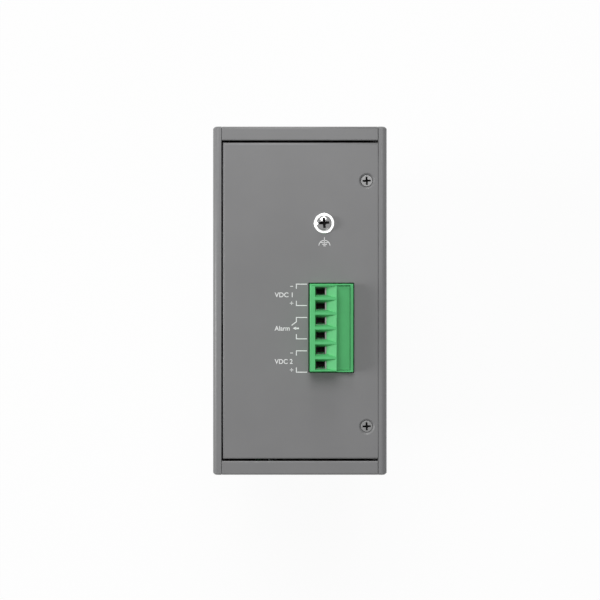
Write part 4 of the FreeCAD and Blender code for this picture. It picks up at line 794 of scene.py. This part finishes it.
def flat_shape(bm, points, top):
    """Adds a printed shape with that outline (x, y in mm)."""
    low = [bm.verts.new((x, y, top)) for x, y in points]
    high = [bm.verts.new((x, y, top + INK_RISE)) for x, y in points]
    bm.faces.new(high)
    bm.faces.new(low[::-1])
    for i in range(len(points)):
        j = (i + 1) % len(points)
        bm.faces.new((low[i], low[j], high[j], high[i]))


def lettered(text, height, width=None):
    """Printed letters, with the middle of their right-hand edge at the origin."""
    curve = bpy.data.curves.new("letters", "FONT")
    curve.body = text
    curve.size = 1.0
    curve.extrude = LETTER_HALF_DEPTH
    curve.offset = LETTER_WEIGHT
    letters = bpy.data.objects.new("letters", curve)
    bpy.context.scene.collection.objects.link(letters)
    bpy.context.view_layer.update()
    shown = letters.evaluated_get(bpy.context.evaluated_depsgraph_get())
    mesh = bpy.data.meshes.new_from_object(shown)
    bpy.data.objects.remove(letters)
    bpy.data.curves.remove(curve)
    xs = [v.co.x for v in mesh.vertices]
    ys = [v.co.y for v in mesh.vertices]
    tall = height / (max(ys) - min(ys))
    wide = width / (max(xs) - min(xs)) if width else tall
    for v in mesh.vertices:
        v.co.x = (v.co.x - max(xs)) * wide
        v.co.y = (v.co.y - (max(ys) + min(ys)) / 2) * tall
        v.co.z = (v.co.z + LETTER_HALF_DEPTH) * INK_RISE
    bm = bmesh.new()
    bm.from_mesh(mesh)
    bpy.data.meshes.remove(mesh)
    return bm


def alarm_marks(bm, left, upper, top):
    """The alarm contact's open blade, and an arrow to its word. Gives the word's place."""
    end_x, turn_x, sign_x = (left - place for place in (LEAD_END, LEAD_TURN, SIGN_PLACE))
    start, end = BLADE_DROPS
    blade = [(turn_x, upper - start), (sign_x, upper - end)]
    strip(bm, [(end_x, upper), (turn_x, upper)] + blade, INK_LINE, top)
    level = upper - ARROW_DROP
    tip = left - WORD_PLACE
    back, half = tip + ARROW_HEAD[0], ARROW_HEAD[1]
    flat_shape(bm, [(tip, level), (back, level + half), (back, level - half)], top)
    strip(bm, [(tip + place, level) for place in ARROW_TAIL], ARROW_LINE, top)
    return tip - ARROW_GAP, level


def supply_marks(bm, left, upper, lower, top):
    """A supply's upper lead, its minus sign and its plus sign. Gives its word's place."""
    end_x, turn_x, sign_x = (left - place for place in (LEAD_END, LEAD_TURN, SIGN_PLACE))
    strip(bm, [(end_x, upper), (turn_x, upper), (turn_x, upper - LEAD_DROP)], INK_LINE, top)
    minus_y, plus_y = upper - MINUS_DROP, lower + PLUS_RISE
    for start, end in (((-MINUS_HALF, minus_y), (MINUS_HALF, minus_y)),
                       ((-PLUS_HALF, plus_y), (PLUS_HALF, plus_y)),
                       ((0, plus_y - PLUS_HALF), (0, plus_y + PLUS_HALF))):
        line = [(sign_x + start[0], start[1]), (sign_x + end[0], end[1])]
        strip(bm, line, SIGN_LINE, top)
    return left - WORD_PLACE, upper - WORD_DROP


def earth_sign(bm, top):
    """The earth sign below the washer: a stem, a bow over it and three bars."""
    low, high = (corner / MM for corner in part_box("earth_washer"))
    middle = (low.x + high.x) / 2 + EARTH_SHIFT
    foot = low.y
    strip(bm, [(middle, foot - drop) for drop in EARTH_STEM], EARTH_LINE, top)
    bow = arc((middle, foot - EARTH_ARC_DROP), EARTH_ARC_RADIUS, *EARTH_ARC_TURN, EARTH_ARC_STEPS)
    strip(bm, bow, EARTH_LINE, top)
    for drop, half in EARTH_BARS:
        strip(bm, [(middle - half, foot - drop), (middle + half, foot - drop)], EARTH_LINE, top)


def print_on_top(ink):
    """Signs, leads, words, arrow and earth sign beside the terminal and the earth screw."""
    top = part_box("top_panel")[1].z / MM
    header_low, header_high = (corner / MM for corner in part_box("terminal_header"))
    left = header_low.x
    turn_x = left - LEAD_TURN
    bm = bmesh.new()
    places = []
    for group in range(len(GROUPS)):
        upper = header_high.y - GROUP_START - group * GROUP_STEP
        lower = upper - GROUP_SPAN
        lead = [(turn_x, lower + LEAD_DROP), (turn_x, lower), (left - LEAD_END, lower)]
        strip(bm, lead, INK_LINE, top)
        if group == ALARM_GROUP:
            places.append(alarm_marks(bm, left, upper, top))
        else:
            places.append(supply_marks(bm, left, upper, lower, top))
    earth_sign(bm, top)
    for (word, width), (right, level) in zip(GROUPS, places):
        letters = lettered(word, WORD_HEIGHT, width)
        bmesh.ops.translate(letters, verts=letters.verts, vec=(right, level, top))
        append(bm, letters)
    bmesh.ops.scale(bm, vec=(MM, MM, MM), verts=bm.verts)
    add_object("panel_marks", bm, [ink])


def print_on_front(ink):
    """The ports' numbers on either side of the jack, each beside its own port."""
    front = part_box("front_panel")[0].y / MM
    jack_low, jack_high = (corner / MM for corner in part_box("rj45_shield"))
    mounts = {m["name"]: Vector(m["pos_m"]) / MM for m in frame["record"]["mounts"]}
    bm = bmesh.new()
    for number in range(1, 9):
        port = mounts["rj45_port_%d" % number]
        left = port.x < (jack_low.x + jack_high.x) / 2
        letters = lettered(str(number), NUMBER_HEIGHT)
        place = jack_low.x - NUMBER_LEFT if left else jack_high.x + NUMBER_RIGHT
        append(bm, placed(letters, Vector((place, front, port.z)) * MM, Vector((0, -1, 0))))
    add_object("port_numbers", bm, [ink])


# ---------------------------------------------------------------- studio

def seen_directly(tree):
    """1 for what the camera, gloss and glass see, 0 for the light that falls on matt surfaces."""
    path = tree.nodes.new("ShaderNodeLightPath")
    total = path.outputs["Is Camera Ray"]
    for other in ("Is Glossy Ray", "Is Transmission Ray"):
        either = tree.nodes.new("ShaderNodeMath")
        either.operation = "MAXIMUM"
        tree.links.new(total, either.inputs[0])
        tree.links.new(path.outputs[other], either.inputs[1])
        total = either.outputs["Value"]
    return total


def make_floor():
    """A pale floor that is seen as white and keeps a little of the object's shadow."""
    bm = bmesh.new()
    bmesh.ops.create_grid(bm, x_segments=8, y_segments=8, size=FLOOR_SIZE / 2 * MM)
    mesh = bpy.data.meshes.new("floor")
    bm.to_mesh(mesh)
    bm.free()
    floor = bpy.data.objects.new("floor", mesh)
    bpy.context.scene.collection.objects.link(floor)
    floor.location.z = -FLOOR_DROP * MM
    material = bpy.data.materials.new("floor_white")
    material.use_nodes = True
    tree = material.node_tree
    shader = tree.nodes["Principled BSDF"]
    shader.inputs["Base Color"].default_value = (FLOOR_GREY, FLOOR_GREY, FLOOR_GREY, 1)
    shader.inputs["Roughness"].default_value = 0.9
    shader.inputs["Specular IOR Level"].default_value = 0.1
    white = tree.nodes.new("ShaderNodeEmission")
    white.inputs["Color"].default_value = (1, 1, 1, 1)
    share = tree.nodes.new("ShaderNodeMath")
    share.operation = "MULTIPLY"
    share.inputs[1].default_value = 1 - FLOOR_SHADOW
    tree.links.new(seen_directly(tree), share.inputs[0])
    mix = tree.nodes.new("ShaderNodeMixShader")
    tree.links.new(share.outputs["Value"], mix.inputs["Fac"])
    tree.links.new(shader.outputs["BSDF"], mix.inputs[1])
    tree.links.new(white.outputs["Emission"], mix.inputs[2])
    tree.links.new(mix.outputs["Shader"], tree.nodes["Material Output"].inputs["Surface"])
    mesh.materials.append(material)


def make_world():
    """A white surround that lights the object only a little."""
    world = bpy.data.worlds.new("studio")
    bpy.context.scene.world = world
    world.use_nodes = True
    tree = world.node_tree
    dim = tree.nodes["Background"]
    dim.inputs["Color"].default_value = (1, 1, 1, 1)
    dim.inputs["Strength"].default_value = AMBIENT
    white = tree.nodes.new("ShaderNodeBackground")
    white.inputs["Color"].default_value = (1, 1, 1, 1)
    white.inputs["Strength"].default_value = 1.0
    mix = tree.nodes.new("ShaderNodeMixShader")
    tree.links.new(seen_directly(tree), mix.inputs["Fac"])
    tree.links.new(dim.outputs["Background"], mix.inputs[1])
    tree.links.new(white.outputs["Background"], mix.inputs[2])
    tree.links.new(mix.outputs["Shader"], tree.nodes["World Output"].inputs["Surface"])


def make_lamps(target):
    """Round softboxes that face the target."""
    for name, (azimuth, elevation, distance, size, level) in LAMPS.items():
        lamp = bpy.data.lights.new(name, "AREA")
        lamp.shape = "DISK"
        lamp.size = size
        lamp.energy = level * math.pi ** 2 * distance ** 2
        holder = bpy.data.objects.new(name, lamp)
        bpy.context.scene.collection.objects.link(holder)
        a = math.radians(azimuth)
        e = math.radians(elevation)
        way = Vector((math.cos(a) * math.cos(e), math.sin(a) * math.cos(e), math.sin(e)))
        holder.location = target + way * distance
        holder.rotation_mode = "QUATERNION"
        holder.rotation_quaternion = way.to_track_quat("Z", "Y")


def make_camera(surface):
    """A camera straight above the top panel."""
    data = bpy.data.cameras.new("view_camera")
    data.sensor_width = SENSOR
    data.lens = SENSOR * CAMERA_HEIGHT / VIEW_WIDTH
    data.clip_start, data.clip_end = CLIP_METRES
    camera = bpy.data.objects.new("view_camera", data)
    bpy.context.scene.collection.objects.link(camera)
    camera.location = (VIEW_CENTRE[0] * MM, VIEW_CENTRE[1] * MM, surface + CAMERA_HEIGHT * MM)
    bpy.context.scene.camera = camera


# ---------------------------------------------------------------- the scene

for thing in list(bpy.data.objects):
    bpy.data.objects.remove(thing)

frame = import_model()
cad_low, cad_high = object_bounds()

plate_paint = painted_finish("plate_paint", (0.18, 0.18, 0.183), grain_mm=0.014)
panel_paint = painted_finish("panel_paint", (0.177, 0.177, 0.179), grain_mm=0.010)
terminal_green = plastic_finish("terminal_green", (0.09, 0.465, 0.165), 0.52, grain=6000,
                                depth_mm=0.004, shade=0.04, specular=0.3)
dark_steel = metal_finish("screw_steel", (0.2, 0.2, 0.2), 0.42)
# Painted shade: near black on the faces that the cross recesses and slots cut into the screws.
recess_shade = recess_finish("recess_shade", (0.012, 0.012, 0.012))
chrome = metal_finish("earth_chrome", (0.26, 0.26, 0.26), 0.16, depth_mm=0.003)
bright_steel = metal_finish("earth_steel", (0.5, 0.5, 0.49), 0.22, depth_mm=0.003)
washer_steel = metal_finish("washer_steel", (0.97, 0.97, 0.96), 0.3, depth_mm=0.003,
                            shade=0.02)
clamp_metal = metal_finish("clamp_nickel", (0.26, 0.26, 0.25), 0.42, ALONG_Z)
contact_metal = metal_finish("contact_plating", (0.78, 0.6, 0.28), 0.22, ALONG_Z)
# The plug's bronze contacts, darkened to near black as painted shade for the deep wire holes.
contact_shade = recess_finish("contact_painted_shade", (0.026, 0.021, 0.02))
pin_metal = metal_finish("tin_plating", (0.72, 0.71, 0.68), 0.3, ALONG_Z)
shield_metal = zinc_finish("shield_tin", (0.68, 0.68, 0.66), 0.3)
clip_zinc = zinc_finish("clip_zinc", (0.6, 0.61, 0.61), 0.32)
spring_steel = metal_finish("spring_steel", (0.42, 0.42, 0.44), 0.26, ALONG_Z)
board_green = board_finish("solder_mask", (0.012, 0.075, 0.028))
connector_black = plastic_finish("connector_black", (0.016, 0.016, 0.018), 0.45)
chip_black = plastic_finish("chip_black", (0.02, 0.02, 0.022), 0.55, grain=3800,
                            depth_mm=0.01)
latch_black = plastic_finish("latch_black", (0.028, 0.028, 0.031), 0.4, grain=2600,
                             depth_mm=0.012)
fuse_brown = plastic_finish("fuse_brown", (0.07, 0.035, 0.018), 0.4)
relay_blue = plastic_finish("relay_blue", (0.02, 0.05, 0.2), 0.35)
ferrite = plastic_finish("ferrite", (0.03, 0.028, 0.028), 0.7, grain=1800, depth_mm=0.03,
                         shade=0.15)
heat_sink = metal_finish("anodised_black", (0.045, 0.045, 0.05), 0.38, ALONG_X)
can_metal = metal_finish("can_sleeve", (0.5, 0.52, 0.55), 0.3, ALONG_Z)
led_white = plastic_finish("led_cream", (0.74, 0.73, 0.62), 0.3)
light_pipe = clear_finish("clear_acrylic")
white_ink = ink_finish("white_ink", (0.76, 0.76, 0.76))

# Each CAD node's material, and how far its edges are rounded.
NODE_FINISH = {
    "left_side_plate": (plate_paint, 0.25), "right_side_plate": (plate_paint, 0.25),
    "top_panel": (panel_paint, 0.3), "bottom_panel": (panel_paint, 0.3),
    "front_panel": (panel_paint, 0.3), "rear_panel": (panel_paint, 0.3),
    "terminal_header": (terminal_green, 0.15), "terminal_plug": (terminal_green, 0.15),
    "terminal_clamps": (clamp_metal, 0.06),
    "plug_contacts": (contact_shade, 0.05), "header_pins": (pin_metal, 0.05),
    "earth_nut": (bright_steel, 0.08),
    "main_board": (board_green, 0), "power_board": (board_green, 0),
    "board_header": (connector_black, 0.1), "board_socket": (connector_black, 0.1),
    "board_standoffs": (pin_metal, 0.08), "board_spacers": (pin_metal, 0.08),
    "rj45_shield": (shield_metal, 0), "rj45_housing": (connector_black, 0),
    "rj45_contacts": (contact_metal, 0), "sfp_cage": (shield_metal, 0),
    "sfp_connectors": (connector_black, 0.08), "status_light_pipes": (light_pipe, 0.08),
    "status_leds": (led_white, 0.05), "switch_chip": (chip_black, 0.08),
    "heat_sink": (heat_sink, 0.08), "port_chips": (chip_black, 0.06),
    "memory_chips": (chip_black, 0.06), "clock_crystal": (shield_metal, 0.1),
    "power_inductors": (ferrite, 0.25), "power_transformer": (ferrite, 0.2),
    "bulk_capacitors": (can_metal, 0.3), "input_choke": (ferrite, 0.25),
    "input_fuses": (fuse_brown, 0.15), "fault_relay": (relay_blue, 0.2),
    "rail_bracket": (clip_zinc, 0.12), "rail_latch": (latch_black, 0.2),
}
for node, (material, edge) in NODE_FINISH.items():
    thing = frame["nodes"][node]
    thing.data.materials.clear()
    thing.data.materials.append(material)
    if edge:
        soften(thing, edge)

panel_screws(dark_steel, recess_shade)
earth_screw(chrome, recess_shade, washer_steel)
clip_screws(bright_steel, recess_shade)
clamp_screws(clamp_metal, recess_shade)
latch_spring(spring_steel)
print_on_top(white_ink)
print_on_front(white_ink)

make_camera(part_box("top_panel")[1].z)
make_floor()
make_world()
make_lamps(Vector((0, 0, cad_high.z)))
bpy.context.scene.view_settings.view_transform = "Standard"
